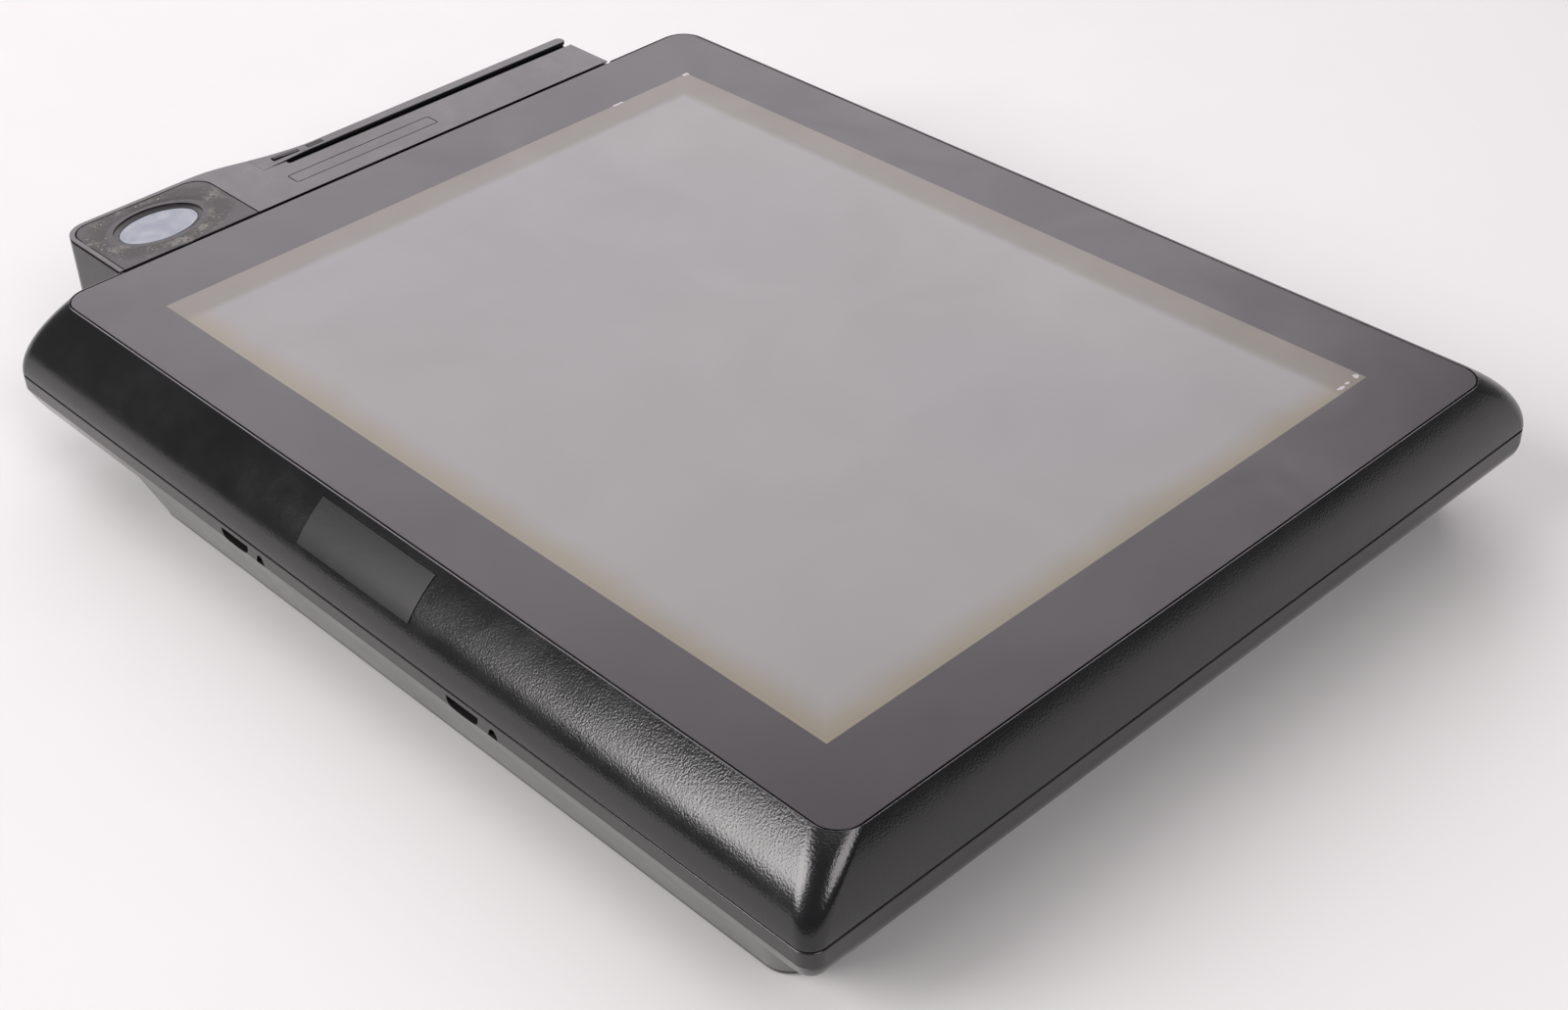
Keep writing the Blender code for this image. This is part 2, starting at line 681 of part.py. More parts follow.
def body_empty(name, place):
    """An empty on a joint's axis, which carries what moves with it."""
    empty = bpy.data.objects.new(f"{name}_axis", None)
    empty.location = place
    empty.parent = BODIES[None]
    PARTS.objects.link(empty)
    BODIES[name] = empty


def bezel_curve(share, half, slope, wall=0.0):
    """One point of the bezel's rounded slope: how far out, and its level.

    The share goes from 0 at the parting line to 1 at the rim, and the curve is a quarter of an
    ellipse with its powers raised a little, which flattens its middle.
    """
    angle = math.radians(90 * share)
    out = half - slope * (1 - math.cos(angle) ** CURVE_POWER) - wall
    level = PARTING_Z + BEZEL_DEPTH * math.sin(angle) ** CURVE_POWER
    return out, level


def bezel_ring(share, wall=0.0):
    """A ring of the bezel's slope, or of the skin a wall inside it."""
    x, z = bezel_curve(share, HEAD_X, SLOPE_X, wall)
    y, z = bezel_curve(share, HEAD_Y, SLOPE_Y, wall)
    corner = HEAD_CORNER + (RIM_CORNER - HEAD_CORNER) * share
    return ring(rounded(-x, x, -y, y, max(corner - wall, BEZEL_WALL)), z)


def head_envelope():
    """The outside of the head grown by a clearance, which shapes what lies against it."""
    shares = [step / CURVE_STEPS for step in range(CURVE_STEPS + 1)]
    rings = [bezel_ring(share, -CLEAR) for share in shares]
    foot = [(x, y, MODULE_BOTTOM - OVERRUN) for x, y, z in rings[0]]
    lid = [(x, y, z + OVERRUN) for x, y, z in rings[-1]]
    return loft([foot] + rings + [lid])


def turned(name, profile, finish, sides=ROD_SIDES, mesh=None, body=None):
    """A solid turned about Z from a profile that runs down its outer side, top to bottom."""
    shape = bmesh.new()
    line = [shape.verts.new((out, 0.0, z)) for out, z in profile]
    for here, there in zip(line, line[1:]):
        shape.edges.new((here, there))
    thing = add_part(name, shape, finish, body)
    if mesh:
        thing.data = mesh
    turn = thing.modifiers.new("turn", "SCREW")
    turn.steps = sides
    turn.render_steps = sides
    turn.use_merge_vertices = True
    turn.merge_threshold = WELD
    return thing


def add_screws(name, places, length):
    """Pan head screws of one length, each its own object, standing on their heads unless turned.

    A place is the middle of the head's face and the tilt about Y.
    """
    profile = [(0.0, length), (SHANK_RADIUS, length), (SHANK_RADIUS, HEAD_HEIGHT),
               (HEAD_RADIUS, HEAD_HEIGHT),
               (HEAD_RADIUS, 0.0), (0.0, 0.0)]
    mesh = None
    for number, (place, tilt) in enumerate(places, start=1):
        thing = turned(f"{name}_{number}", profile, "zinc_screw", mesh=mesh)
        thing.location = place
        thing.rotation_euler = (0.0, tilt, 0.0)
        mesh = thing.data


def holes(places, low, high, radius=HOLE_RADIUS):
    """Upright round holes, as the bars that cut them."""
    return [rod((x, y, low), (x, y, high), radius, sides=8) for x, y in places]


def flange_places():
    """Where the chassis is screwed to the bezel's ledge, through its flanges."""
    x = FLANGE_X + FLANGE_OUT / 2
    y = CHASSIS_Y - FLANGE_SCREW_INSET
    return [(side * x, end * y) for side in (-1, 1) for end in (-1, 1)]


def post_places():
    """The four bosses of the rear cover, one of them moved past the drive bay."""
    left = -HOUSING_LEFT + POST_LEFT_MARGIN
    right = HOUSING_RIGHT - POST_RIGHT_MARGIN
    far = HOUSING_FAR - POST_FAR_MARGIN
    return [(left, -HOUSING_NEAR + POST_NEAR_MARGIN), (left, far), (right, TRAY_FAR + POST_DRIVE_GAP),
            (right, far)]


def build_glass():
    """Cover glass and the foam tape that holds it on the bezel's ledge."""
    x = GLASS_LENGTH / 2
    y = GLASS_WIDTH / 2
    add_part("touch_glass", slab([rounded(-x, x, -y, y, GLASS_CORNER)], GLASS_BOTTOM, HEAD_TOP),
             "black_glass")
    x -= TAPE_INSET
    y -= TAPE_INSET
    outside = rounded(-x, x, -y, y, GLASS_CORNER - TAPE_INSET)
    x = LEDGE_X + TAPE_INSET
    y = LEDGE_Y + TAPE_INSET
    inside = rounded(-x, x, -y, y, LEDGE_CORNER)
    add_part("glass_tape", slab([outside, inside], TAPE_TOP - TAPE_THICKNESS, TAPE_TOP), "black_foam")


def build_bezel():
    """Front bezel: rounded slope, flat rim, seat and ledge for the glass, and a hollow back."""
    shares = [step / CURVE_STEPS for step in range(CURVE_STEPS + 1)]
    seat_x = GLASS_LENGTH / 2 + GLASS_GAP
    seat_y = GLASS_WIDTH / 2 + GLASS_GAP
    seat = rounded(-seat_x, seat_x, -seat_y, seat_y, GLASS_CORNER + GLASS_GAP)
    window = rounded(-LEDGE_X, LEDGE_X, -LEDGE_Y, LEDGE_Y, LEDGE_CORNER)
    ledge_angle = math.asin(((LEDGE_BOTTOM - PARTING_Z) / BEZEL_DEPTH) ** (1 / CURVE_POWER))
    ledge_share = math.degrees(ledge_angle) / 90
    rings = [bezel_ring(share) for share in shares]
    rings += [ring(seat, HEAD_TOP), ring(seat, LEDGE_TOP), ring(window, LEDGE_TOP),
              ring(window, LEDGE_BOTTOM)]
    rings += [bezel_ring(ledge_share * step / SKIN_STEPS, BEZEL_WALL) for step in range(SKIN_STEPS, -1, -1)]
    bezel = add_part("front_bezel", loft(rings, closed=True), "black_abs", smooth=True)
    shelf = box((-HEAD_X - OVERRUN, MODULE_NEAR - RUNNING, LID_BOTTOM - CLEAR),
                (-RIM_X, MODULE_FAR + RUNNING, HEAD_TOP + OVERRUN))
    cut(bezel, shelf, *holes(flange_places(), LEDGE_BOTTOM - OVERRUN, LEDGE_BOTTOM + BLIND_DEPTH + CLEAR))
    start = -HEAD_X - OVERRUN
    end = -HEAD_X + BEZEL_WALL + OVERRUN
    cut(bezel, *[rod((start, y, z), (end, y, z), radius) for y, z, radius in
                 ((MODULE_SCREW_NEAR, MODULE_SCREW_Z, HOLE_RADIUS),
                  (MODULE_SCREW_FAR, MODULE_SCREW_Z, HOLE_RADIUS),
                  (MODULE_CABLE_Y, MODULE_CABLE_Z, MODULE_CABLE_HOLE))])


def build_plate():
    """Bare plate that follows the bezel's -Y slope."""
    first, last = PLATE_CURVE_SHARES
    shares = [first + (last - first) * step / PLATE_STEPS for step in range(PLATE_STEPS + 1)]
    under = [bezel_curve(share, HEAD_Y, SLOPE_Y, -CLEAR) for share in shares]
    over = [bezel_curve(share, HEAD_Y, SLOPE_Y, -CLEAR - PLATE_THICKNESS) for share in shares]
    section = [(-out, z + CLEAR) for out, z in under]
    section += [(-out, z + CLEAR + PLATE_THICKNESS) for out, z in reversed(over)]
    left = PLATE_X - PLATE_LENGTH / 2
    add_part("label_plate", slab([section], left, left + PLATE_LENGTH, "X"), "black_part", smooth=True)


def build_panel():
    """Display panel: steel frame, liquid crystal cell and backlight, one inside the other."""
    x = PANEL_LENGTH / 2
    y = PANEL_WIDTH / 2
    frame = add_part("panel_frame", box((-x, -y, PANEL_BOTTOM), (x, y, PANEL_TOP)), "bare_steel")
    inner_x = x - PANEL_SHEET
    inner_y = y - PANEL_SHEET
    ceiling = PANEL_TOP - PANEL_SHEET
    cut(frame, box((-inner_x, -inner_y, PANEL_BOTTOM - OVERRUN), (inner_x, inner_y, ceiling)))
    window_x = SCREEN_LENGTH / 2 + WINDOW_MARGIN
    window_y = SCREEN_WIDTH / 2 + WINDOW_MARGIN
    cut(frame, box((-window_x, -window_y, PANEL_BOTTOM), (window_x, window_y, PANEL_TOP + OVERRUN)))
    inner_x -= CLEAR
    inner_y -= CLEAR
    cell_top = ceiling - CLEAR
    cell_bottom = cell_top - CELL_THICKNESS
    add_part("panel_cell", box((-inner_x, -inner_y, cell_bottom), (inner_x, inner_y, cell_top)),
             "grey_panel")
    add_part("backlight", box((-inner_x, -inner_y, PANEL_BOTTOM), (inner_x, inner_y, cell_bottom - CLEAR)),
             "white_sheet")


def build_chassis():
    """Bent steel sheet under the panel: it hangs from the bezel and carries the mainboard on spacers."""
    under = [(-FLANGE_X, CHASSIS_BOTTOM), (FLANGE_X, CHASSIS_BOTTOM)]
    right = [(FLANGE_X, PANEL_TOP - CHASSIS_SHEET), (FLANGE_X + FLANGE_OUT, PANEL_TOP - CHASSIS_SHEET),
             (FLANGE_X + FLANGE_OUT, PANEL_TOP), (FLANGE_X - CHASSIS_SHEET, PANEL_TOP),
             (FLANGE_X - CHASSIS_SHEET, CHASSIS_TOP)]
    left = [(-x, z) for x, z in reversed(right)]
    chassis = add_part("chassis", slab([under + right + left], -CHASSIS_Y, CHASSIS_Y, "Y"),
                       "bare_steel")
    fuse(chassis, *[rod((x, y, BOARD_TOP + CLEAR), (x, y, CHASSIS_BOTTOM + SINK), STANDOFF_RADIUS, sides=6)
                    for x, y in board_places()])
    cut(chassis, *holes(post_places() + board_places(), BOARD_TOP, CHASSIS_TOP + OVERRUN),
        *holes(flange_places(), PANEL_TOP - CHASSIS_SHEET - OVERRUN, PANEL_TOP + OVERRUN))
    head_z = PANEL_TOP - CHASSIS_SHEET - CLEAR - HEAD_HEIGHT
    add_screws("chassis_screw", [((x, y, head_z), 0.0) for x, y in flange_places()],
               LEDGE_BOTTOM + BLIND_DEPTH - head_z)


def housing_outline(z, wall=0.0):
    """The housing's outline at one level between the flat back and the bottom, with its drafts."""
    share = 1 - z / BACK_Z
    left = -HOUSING_LEFT + DRAFT_LEFT * share + wall
    right = HOUSING_RIGHT - DRAFT_RIGHT * share - wall
    near = -HOUSING_NEAR + DRAFT_NEAR * share + wall
    far = HOUSING_FAR - DRAFT_FAR * share - wall
    return rounded(left, right, near, far, max(HOUSING_CORNER - wall, HOUSING_EDGE))


def band_outline(inset_x, inset_y):
    """The head's outline drawn in from its sides."""
    x = HEAD_X - inset_x
    y = HEAD_Y - inset_y
    return rounded(-x, x, -y, y, max(HEAD_CORNER - min(inset_x, inset_y), BAND_ROUND_Y))


def hook_outline(x):
    """A slot with a flat top and a bellied lower edge, and the small nib slot beside it."""
    top = BACK_Z - HOOK_DROP + HOOK_HEIGHT
    half = HOOK_WIDTH / 2
    belly = []
    for step in range(HOOK_STEPS + 1):
        angle = math.pi * step / HOOK_STEPS
        belly.append((x - half * math.cos(angle), top - HOOK_HEIGHT * math.sin(angle) ** HOOK_POWER))
    nib_x = x + HOOK_NIB_OFFSET
    nib = [(nib_x + HOOK_NIB_WIDTH / 2, BACK_Z), (nib_x + HOOK_NIB_WIDTH / 5, BACK_Z + HOOK_NIB_HEIGHT),
           (nib_x - HOOK_NIB_WIDTH / 5, BACK_Z + HOOK_NIB_HEIGHT), (nib_x - HOOK_NIB_WIDTH / 2, BACK_Z)]
    return belly, nib


def slot_row(x, y, count, length):
    """Parallel slots through the housing's bottom."""
    first = x - SLOT_PITCH * (count - 1) / 2
    return [box((first + SLOT_PITCH * step - SLOT_WIDTH / 2, y - length / 2, -OVERRUN),
                (first + SLOT_PITCH * step + SLOT_WIDTH / 2, y + length / 2, COVER_WALL + OVERRUN))
            for step in range(count)]


def build_rear_cover():
    """Rear cover: a shell with the band, a rounded step to the flat back, and the deep housing."""
    outer = [ring(band_outline(0.0, 0.0), BAND_TOP)]
    for angle in (0, 30, 60, 90):
        lean = math.radians(angle)
        inset = 1 - math.cos(lean)
        outline = band_outline(BAND_ROUND_X * inset, BAND_ROUND_Y * inset)
        outer.append(ring(outline, BACK_Z + BAND_ROUND_DEPTH * (1 - math.sin(lean))))
    outer.append(ring(housing_outline(BACK_Z), BACK_Z))
    outer.append(ring(housing_outline(HOUSING_EDGE), HOUSING_EDGE))
    for angle in (45, 90):
        lean = math.radians(angle)
        inset = HOUSING_EDGE * (1 - math.cos(lean))
        outer.append(ring(housing_outline(HOUSING_EDGE, inset), HOUSING_EDGE * (1 - math.sin(lean))))
    lip = BEZEL_WALL + RUNNING
    skin = lip + LIP_WALL
    lip_top = PARTING_Z + LIP_OVERLAP
    inner = [ring(band_outline(lip, lip), BAND_TOP), ring(band_outline(lip, lip), lip_top),
             ring(band_outline(skin, skin), lip_top),
             ring(band_outline(skin, skin), BACK_Z + BAND_ROUND_DEPTH),
             ring(band_outline(BAND_ROUND_X, BAND_ROUND_Y), BACK_FLOOR),
             ring(housing_outline(BACK_Z, COVER_WALL), BACK_FLOOR),
             ring(housing_outline(COVER_WALL, COVER_WALL), COVER_WALL)]
    cover = add_part("rear_cover", loft(list(reversed(outer)) + inner), "black_abs", smooth=True)

    posts = [rod((x, y, COVER_WALL - SINK), (x, y, CHASSIS_BOTTOM - CLEAR),
                 POST_RADIUS) for x, y in post_places()]
    runner_top = COVER_WALL + TRAY_RUNNER_HEIGHT
    runner_end = TRAY_BACK_X + DRIVE_LENGTH * TRAY_RUNNER_SHARE
    runners = []
    for low, high in ((TRAY_NEAR - RUNNING - TRAY_RUNNER_WIDTH, TRAY_NEAR - RUNNING),
                      (TRAY_FAR + RUNNING, TRAY_FAR + RUNNING + TRAY_RUNNER_WIDTH)):
        runners.append(box((TRAY_BACK_X, low, COVER_WALL - SINK), (runner_end, high, runner_top)))
    feet = []
    for side in (-1, 1):
        x = BUTTON_X + side * (BUTTON_BOARD_LENGTH - BUTTON_POST_SIZE) / 2
        half = BUTTON_POST_SIZE / 2
        feet.append(box((x - half, BUTTON_Y - half, BACK_FLOOR - SINK),
                        (x + half, BUTTON_Y + half, button_levels()["board"] - CLEAR)))
    fuse(cover, *posts, *runners, *feet)

    cut(cover, *[rod((x, y, -OVERRUN), (x, y, POST_SEAT), POST_BORE) for x, y in post_places()])
    cut(cover, *holes(post_places(), POST_SEAT - SINK, CHASSIS_TOP))

    mount = MOUNT_PITCH / 2
    cuts = holes([(x, y) for x in (-mount, mount) for y in (-mount, mount)], -OVERRUN, COVER_WALL + OVERRUN,
                 MOUNT_HOLE_RADIUS)
    for x in (SPEAKER_LEFT_X, SPEAKER_RIGHT_X):
        cuts += slot_row(x, SPEAKER_Y, SPEAKER_SLOTS, SLOT_LENGTH)
    vent_room = SPEAKER_RIGHT_X - SPEAKER_LEFT_X - 2 * (SPEAKER_RADIUS + VENT_MARGIN)
    vent_count = 1 + max(0, int(vent_room / SLOT_PITCH))
    cuts += slot_row((SPEAKER_LEFT_X + SPEAKER_RIGHT_X) / 2, SPEAKER_Y, vent_count, VENT_LENGTH)
    cuts.append(rod((BUTTON_X, BUTTON_Y, BACK_Z - OVERRUN), (BUTTON_X, BUTTON_Y, BACK_FLOOR + OVERRUN),
                    BUTTON_RADIUS + RUNNING, sides=FINE_SIDES))
    for turn in range(2):
        belly, nib = hook_outline(HOOK_FIRST_X + HOOK_PITCH * turn)
        low = -HEAD_Y - OVERRUN
        cuts += [slab([outline], low, -HEAD_Y + HOOK_REACH, "Y") for outline in (belly, nib)]
    cuts.append(box((BOARD_LEFT, CABLE_MOUTH_NEAR, -OVERRUN),
                    (BOARD_RIGHT, HEAD_Y + OVERRUN, BACK_Z - CABLE_MOUTH_LIP)))
    cuts.append(box((TRAY_FRONT_X - TRAY_FRONT_SHEET - OVERRUN, TRAY_NEAR - RUNNING, COVER_WALL),
                    (HEAD_X, TRAY_FAR + RUNNING, COVER_WALL + TRAY_FRONT_HEIGHT + RUNNING)))
    cut(cover, *cuts)
    head_z = POST_SEAT - CLEAR - HEAD_HEIGHT
    add_screws("case_screw", [((x, y, head_z), 0.0) for x, y in post_places()], CHASSIS_TOP - head_z)


def build_mount_plate():
    """Steel plate inside the back with four threaded bosses."""
    half = MOUNT_PITCH / 2 + MOUNT_PLATE_MARGIN
    low = COVER_FLOOR
    high = low + MOUNT_PLATE_SHEET
    plate = add_part("mount_plate", slab([rounded(-half, half, -half, half, MOUNT_PLATE_CORNER, steps=2)],
                                         low, high),
                     "bare_steel")
    mount = MOUNT_PITCH / 2
    places = [(x, y) for x in (-mount, mount) for y in (-mount, mount)]
    fuse(plate, *[rod((x, y, high - SINK), (x, y, high + MOUNT_BOSS_HEIGHT),
                      MOUNT_BOSS_RADIUS) for x, y in places])
    cut(plate, *holes(places, low - OVERRUN, high + MOUNT_BOSS_HEIGHT + OVERRUN, MOUNT_THREAD_RADIUS))


def board_places():
    """The mainboard's four holes, the far two clear of the sockets."""
    far = BOARD_FAR - PORT_DEPTH - BOARD_HOLE_INSET
    return [(x, y) for x in (BOARD_LEFT + BOARD_HOLE_INSET, BOARD_RIGHT - BOARD_HOLE_INSET)
            for y in (BOARD_NEAR + BOARD_HOLE_INSET, far)]


def on_board(inset):
    """A place on the mainboard, given from its left and far edges."""
    return BOARD_LEFT + inset[0], BOARD_FAR - inset[1]


def build_mainboard():
    """Mainboard with its soldered coils and memory socket, and the pieces set on its underside."""
    board = add_part("mainboard", box((BOARD_LEFT, BOARD_NEAR, BOARD_BOTTOM),
                                      (BOARD_RIGHT, BOARD_FAR, BOARD_TOP)),
                     "green_board")
    coil_x, coil_y = on_board(COIL_INSET)
    memory_x, memory_y = on_board(MEMORY_INSET)
    processor_x, processor_y = on_board(PROCESSOR_INSET)
    cell_x, cell_y = on_board(CELL_INSET)
    soldered = []
    for step in range(COIL_COUNT):
        y = coil_y + COIL_PITCH * step
        soldered.append(box((coil_x - COIL_SIZE / 2, y - COIL_SIZE / 2, BOARD_BOTTOM - COIL_HEIGHT),
                            (coil_x + COIL_SIZE / 2, y + COIL_SIZE / 2, BOARD_BOTTOM + SINK)))
    x = MEMORY_SOCKET_LENGTH / 2
    socket_far = memory_y + MEMORY_SOCKET_WIDTH / 2
    soldered.append(box((memory_x - x, memory_y - MEMORY_SOCKET_WIDTH / 2,
                         BOARD_BOTTOM - MEMORY_SOCKET_HEIGHT),
                        (memory_x + x, socket_far, BOARD_BOTTOM + SINK)))
    fuse(board, *soldered)
    cut(board, *holes(board_places(), BOARD_BOTTOM - OVERRUN, BOARD_TOP + OVERRUN))
    head_z = PART_TOP - HEAD_HEIGHT
    add_screws("board_screw", [((x, y, head_z), 0.0) for x, y in board_places()], CHASSIS_BOTTOM - head_z)

    half = PROCESSOR_SIZE / 2
    under = PART_TOP - PROCESSOR_HEIGHT
    add_part("processor", box((processor_x - half, processor_y - half, under),
                              (processor_x + half, processor_y + half, PART_TOP)), "black_part")
    half = SINK_SIZE / 2
    top = under - CLEAR
    bottom = top - SINK_BASE - SINK_FIN_HEIGHT
    sink = add_part("heat_sink", box((processor_x - half, processor_y - half, bottom),
                                     (processor_x + half, processor_y + half, top)), "aluminium")
    pitch = (SINK_SIZE - SINK_FIN_THICKNESS) / (SINK_FIN_COUNT - 1)
    gaps = []
    for step in range(SINK_FIN_COUNT - 1):
        left = processor_x - half + SINK_FIN_THICKNESS + pitch * step
        gaps.append(box((left, processor_y - half - OVERRUN, bottom - OVERRUN),
                        (left + pitch - SINK_FIN_THICKNESS, processor_y + half + OVERRUN, top - SINK_BASE)))
    cut(sink, *gaps)

    x = MEMORY_LENGTH / 2
    top = PART_TOP - MEMORY_DROP
    bottom = top - MEMORY_THICKNESS
    near = socket_far + CLEAR
    memory = add_part("memory_module", box((memory_x - x, near, bottom),
                                           (memory_x + x, near + MEMORY_WIDTH, top)),
                      "green_board")
    pitch = MEMORY_LENGTH / CHIP_COUNT
    y = near + MEMORY_WIDTH / 2
    chips = []
    for step in range(CHIP_COUNT):
        x = memory_x + pitch * (step - (CHIP_COUNT - 1) / 2)
        chips.append(box((x - CHIP_LENGTH / 2, y - CHIP_WIDTH / 2, bottom - CHIP_HEIGHT),
                         (x + CHIP_LENGTH / 2, y + CHIP_WIDTH / 2, bottom + SINK)))
    fuse(memory, *chips)
    add_part("clock_battery", rod((cell_x, cell_y, PART_TOP - CELL_HEIGHT), (cell_x, cell_y, PART_TOP),
                                  CELL_RADIUS,
                                  sides=FINE_SIDES), "zinc_screw", smooth=True)


def port_table():
    """The sockets from left to right: name, width, height and the middle of each."""
    names = ("power_inlet", "serial_port", "monitor_port", "network_port", "usb_ports", "drawer_port")
    heights = (INLET_HEIGHT, DSUB_HEIGHT, DSUB_HEIGHT, NETWORK_HEIGHT, USB_HEIGHT, DRAWER_PORT_HEIGHT)
    left = BOARD_LEFT + PORT_SIDE_MARGIN
    table = {}
    for name, width, height in zip(names, PORT_WIDTHS, heights):
        table[name] = (left + width / 2, width, height)
        left += width + PORT_GAP
    return table


def port_block(place, depth=PORT_DEPTH):
    """A socket's body under the mainboard's edge, its mouth towards +Y."""
    x, width, height = place
    return box((x - width / 2, PORT_FACE - depth, PART_TOP - height), (x + width / 2, PORT_FACE, PART_TOP))


def mouth(x, z, width, height, depth):
    """A rectangular mouth cut into a socket's face."""
    return box((x - width / 2, PORT_FACE - depth, z - height / 2),
               (x + width / 2, PORT_FACE + OVERRUN, z + height / 2))


def dsub_shell(x, z, inset):
    """The five-sided collar of a D shaped connector, wider at the top."""
    half = DSUB_SHELL_WIDTH / 2 - inset
    tall = DSUB_SHELL_HEIGHT / 2 - inset
    return [(x - half, z + tall), (x + half, z + tall), (x + half - DSUB_TAPER, z - tall),
            (x - half + DSUB_TAPER, z - tall)]


def build_ports():
    """The sockets and the steel bracket round them."""
    table = port_table()
    x, width, height = table["power_inlet"]
    z = PART_TOP - height / 2
    inlet = add_part("power_inlet", port_block(table["power_inlet"]), "black_part")
    cut(inlet, rod((x, PORT_FACE - INLET_BORE_DEPTH, z), (x, PORT_FACE + OVERRUN, z), INLET_BORE))
    fuse(inlet, rod((x, PORT_FACE - INLET_BORE_DEPTH - SINK, z), (x, PORT_FACE - RUNNING, z), INLET_PIN,
                    sides=8))

    for name in ("serial_port", "monitor_port"):
        x, width, height = table[name]
        z = PART_TOP - height / 2
        port = add_part(name, port_block(table[name]), "bare_steel")
        face = PORT_FACE + DSUB_SHELL_DEPTH
        fuse(port, slab([dsub_shell(x, z, 0.0)], PORT_FACE - SINK, face, "Y"))
        if name == "serial_port":
            cut(port, slab([dsub_shell(x, z, DSUB_SHELL_WALL)], PORT_FACE + DSUB_FLANGE, face + OVERRUN,
                           "Y"))
            pins = []
            for row, count in ((1, 5), (-1, 4)):
                for step in range(count):
                    pin_x = x + DSUB_PIN_PITCH * (step - (count - 1) / 2)
                    pin_z = z + row * DSUB_PIN_ROW / 2
                    pins.append(rod((pin_x, PORT_FACE + DSUB_FLANGE - SINK, pin_z),
                                    (pin_x, PORT_FACE + DSUB_PIN_LENGTH, pin_z), DSUB_PIN_RADIUS, sides=4))
            fuse(port, *pins)

    mouths = [("network_port", NETWORK_MOUTH_WIDTH, NETWORK_MOUTH_HEIGHT, NETWORK_MOUTH_DEPTH),
              ("drawer_port", DRAWER_MOUTH_WIDTH, DRAWER_MOUTH_HEIGHT, DRAWER_MOUTH_DEPTH)]
    for name, across, tall, depth in mouths:
        x, width, height = table[name]
        port = add_part(name, port_block(table[name]), "bare_steel" if name == "network_port" else "black_part")
        cut(port, mouth(x, PART_TOP - height / 2, across, tall, depth))

    x, width, height = table["usb_ports"]
    usb = add_part("usb_ports", port_block(table["usb_ports"]), "bare_steel")
    mouths = []
    tongues = []
    back = PORT_FACE - USB_MOUTH_DEPTH - SINK
    for side in (-1, 1):
        for row in (1, 3):
            mouth_x = x + side * width / 4
            z = PART_TOP - height * row / 4
            mouths.append(mouth(mouth_x, z, USB_MOUTH_WIDTH, USB_MOUTH_HEIGHT, USB_MOUTH_DEPTH))
            top = z + USB_MOUTH_HEIGHT / 2 - RUNNING
            tongues.append(box((mouth_x - USB_TONGUE_WIDTH / 2, back, top - USB_TONGUE_HEIGHT),
                               (mouth_x + USB_TONGUE_WIDTH / 2, back + USB_TONGUE_LENGTH, top)))
    cut(usb, *mouths)
    fuse(usb, *tongues)

    top = CHASSIS_BOTTOM - CLEAR
    section = [(BRACKET_Y, COVER_FLOOR), (BRACKET_Y + BRACKET_SHEET, COVER_FLOOR),
               (BRACKET_Y + BRACKET_SHEET, top - BRACKET_SHEET),
               (BRACKET_Y + BRACKET_FLANGE, top - BRACKET_SHEET),
               (BRACKET_Y + BRACKET_FLANGE, top), (BRACKET_Y, top)]
    bracket = add_part("port_bracket", slab([section], BOARD_LEFT, BOARD_RIGHT, "X"), "bare_steel")
    windows = []
    for x, width, height in table.values():
        windows.append(box((x - width / 2 - RUNNING, BRACKET_Y - OVERRUN, PART_TOP - height - RUNNING),
                           (x + width / 2 + RUNNING, BRACKET_Y + BRACKET_SHEET + OVERRUN, PART_TOP + RUNNING)))
    cut(bracket, *windows)


def build_cable_cover():
    """Sliding cover over the sockets: a plate with an upturned end and three cable notches."""
    left = BOARD_LEFT + RUNNING
    right = BOARD_RIGHT - RUNNING
    near = CABLE_MOUTH_NEAR + RUNNING
    far = CABLE_PLATE_FAR
    low = CABLE_COVER_LIFT
    high = low + CABLE_COVER_SHEET
    top = BACK_Z - CABLE_MOUTH_LIP - RUNNING
    body_empty("cable_cover", ((left + right) / 2, near, low))
    section = [(near, low), (far, low), (far, top), (far - CABLE_COVER_SHEET, top),
               (far - CABLE_COVER_SHEET, high),
               (near, high)]
    cover = add_part("cable_cover", slab([section], left, right, "X"), "black_abs", body="cable_cover")
    middle = (left + right) / 2
    notches = []
    for step in range(CABLE_NOTCH_COUNT):
        x = middle + CABLE_NOTCH_PITCH * (step - (CABLE_NOTCH_COUNT - 1) / 2)
        notches.append(box((x - CABLE_NOTCH_WIDTH / 2, far - CABLE_COVER_SHEET - OVERRUN,
                            top - CABLE_NOTCH_DEPTH),
                           (x + CABLE_NOTCH_WIDTH / 2, far + OVERRUN, top + OVERRUN)))
    cut(cover, *notches)


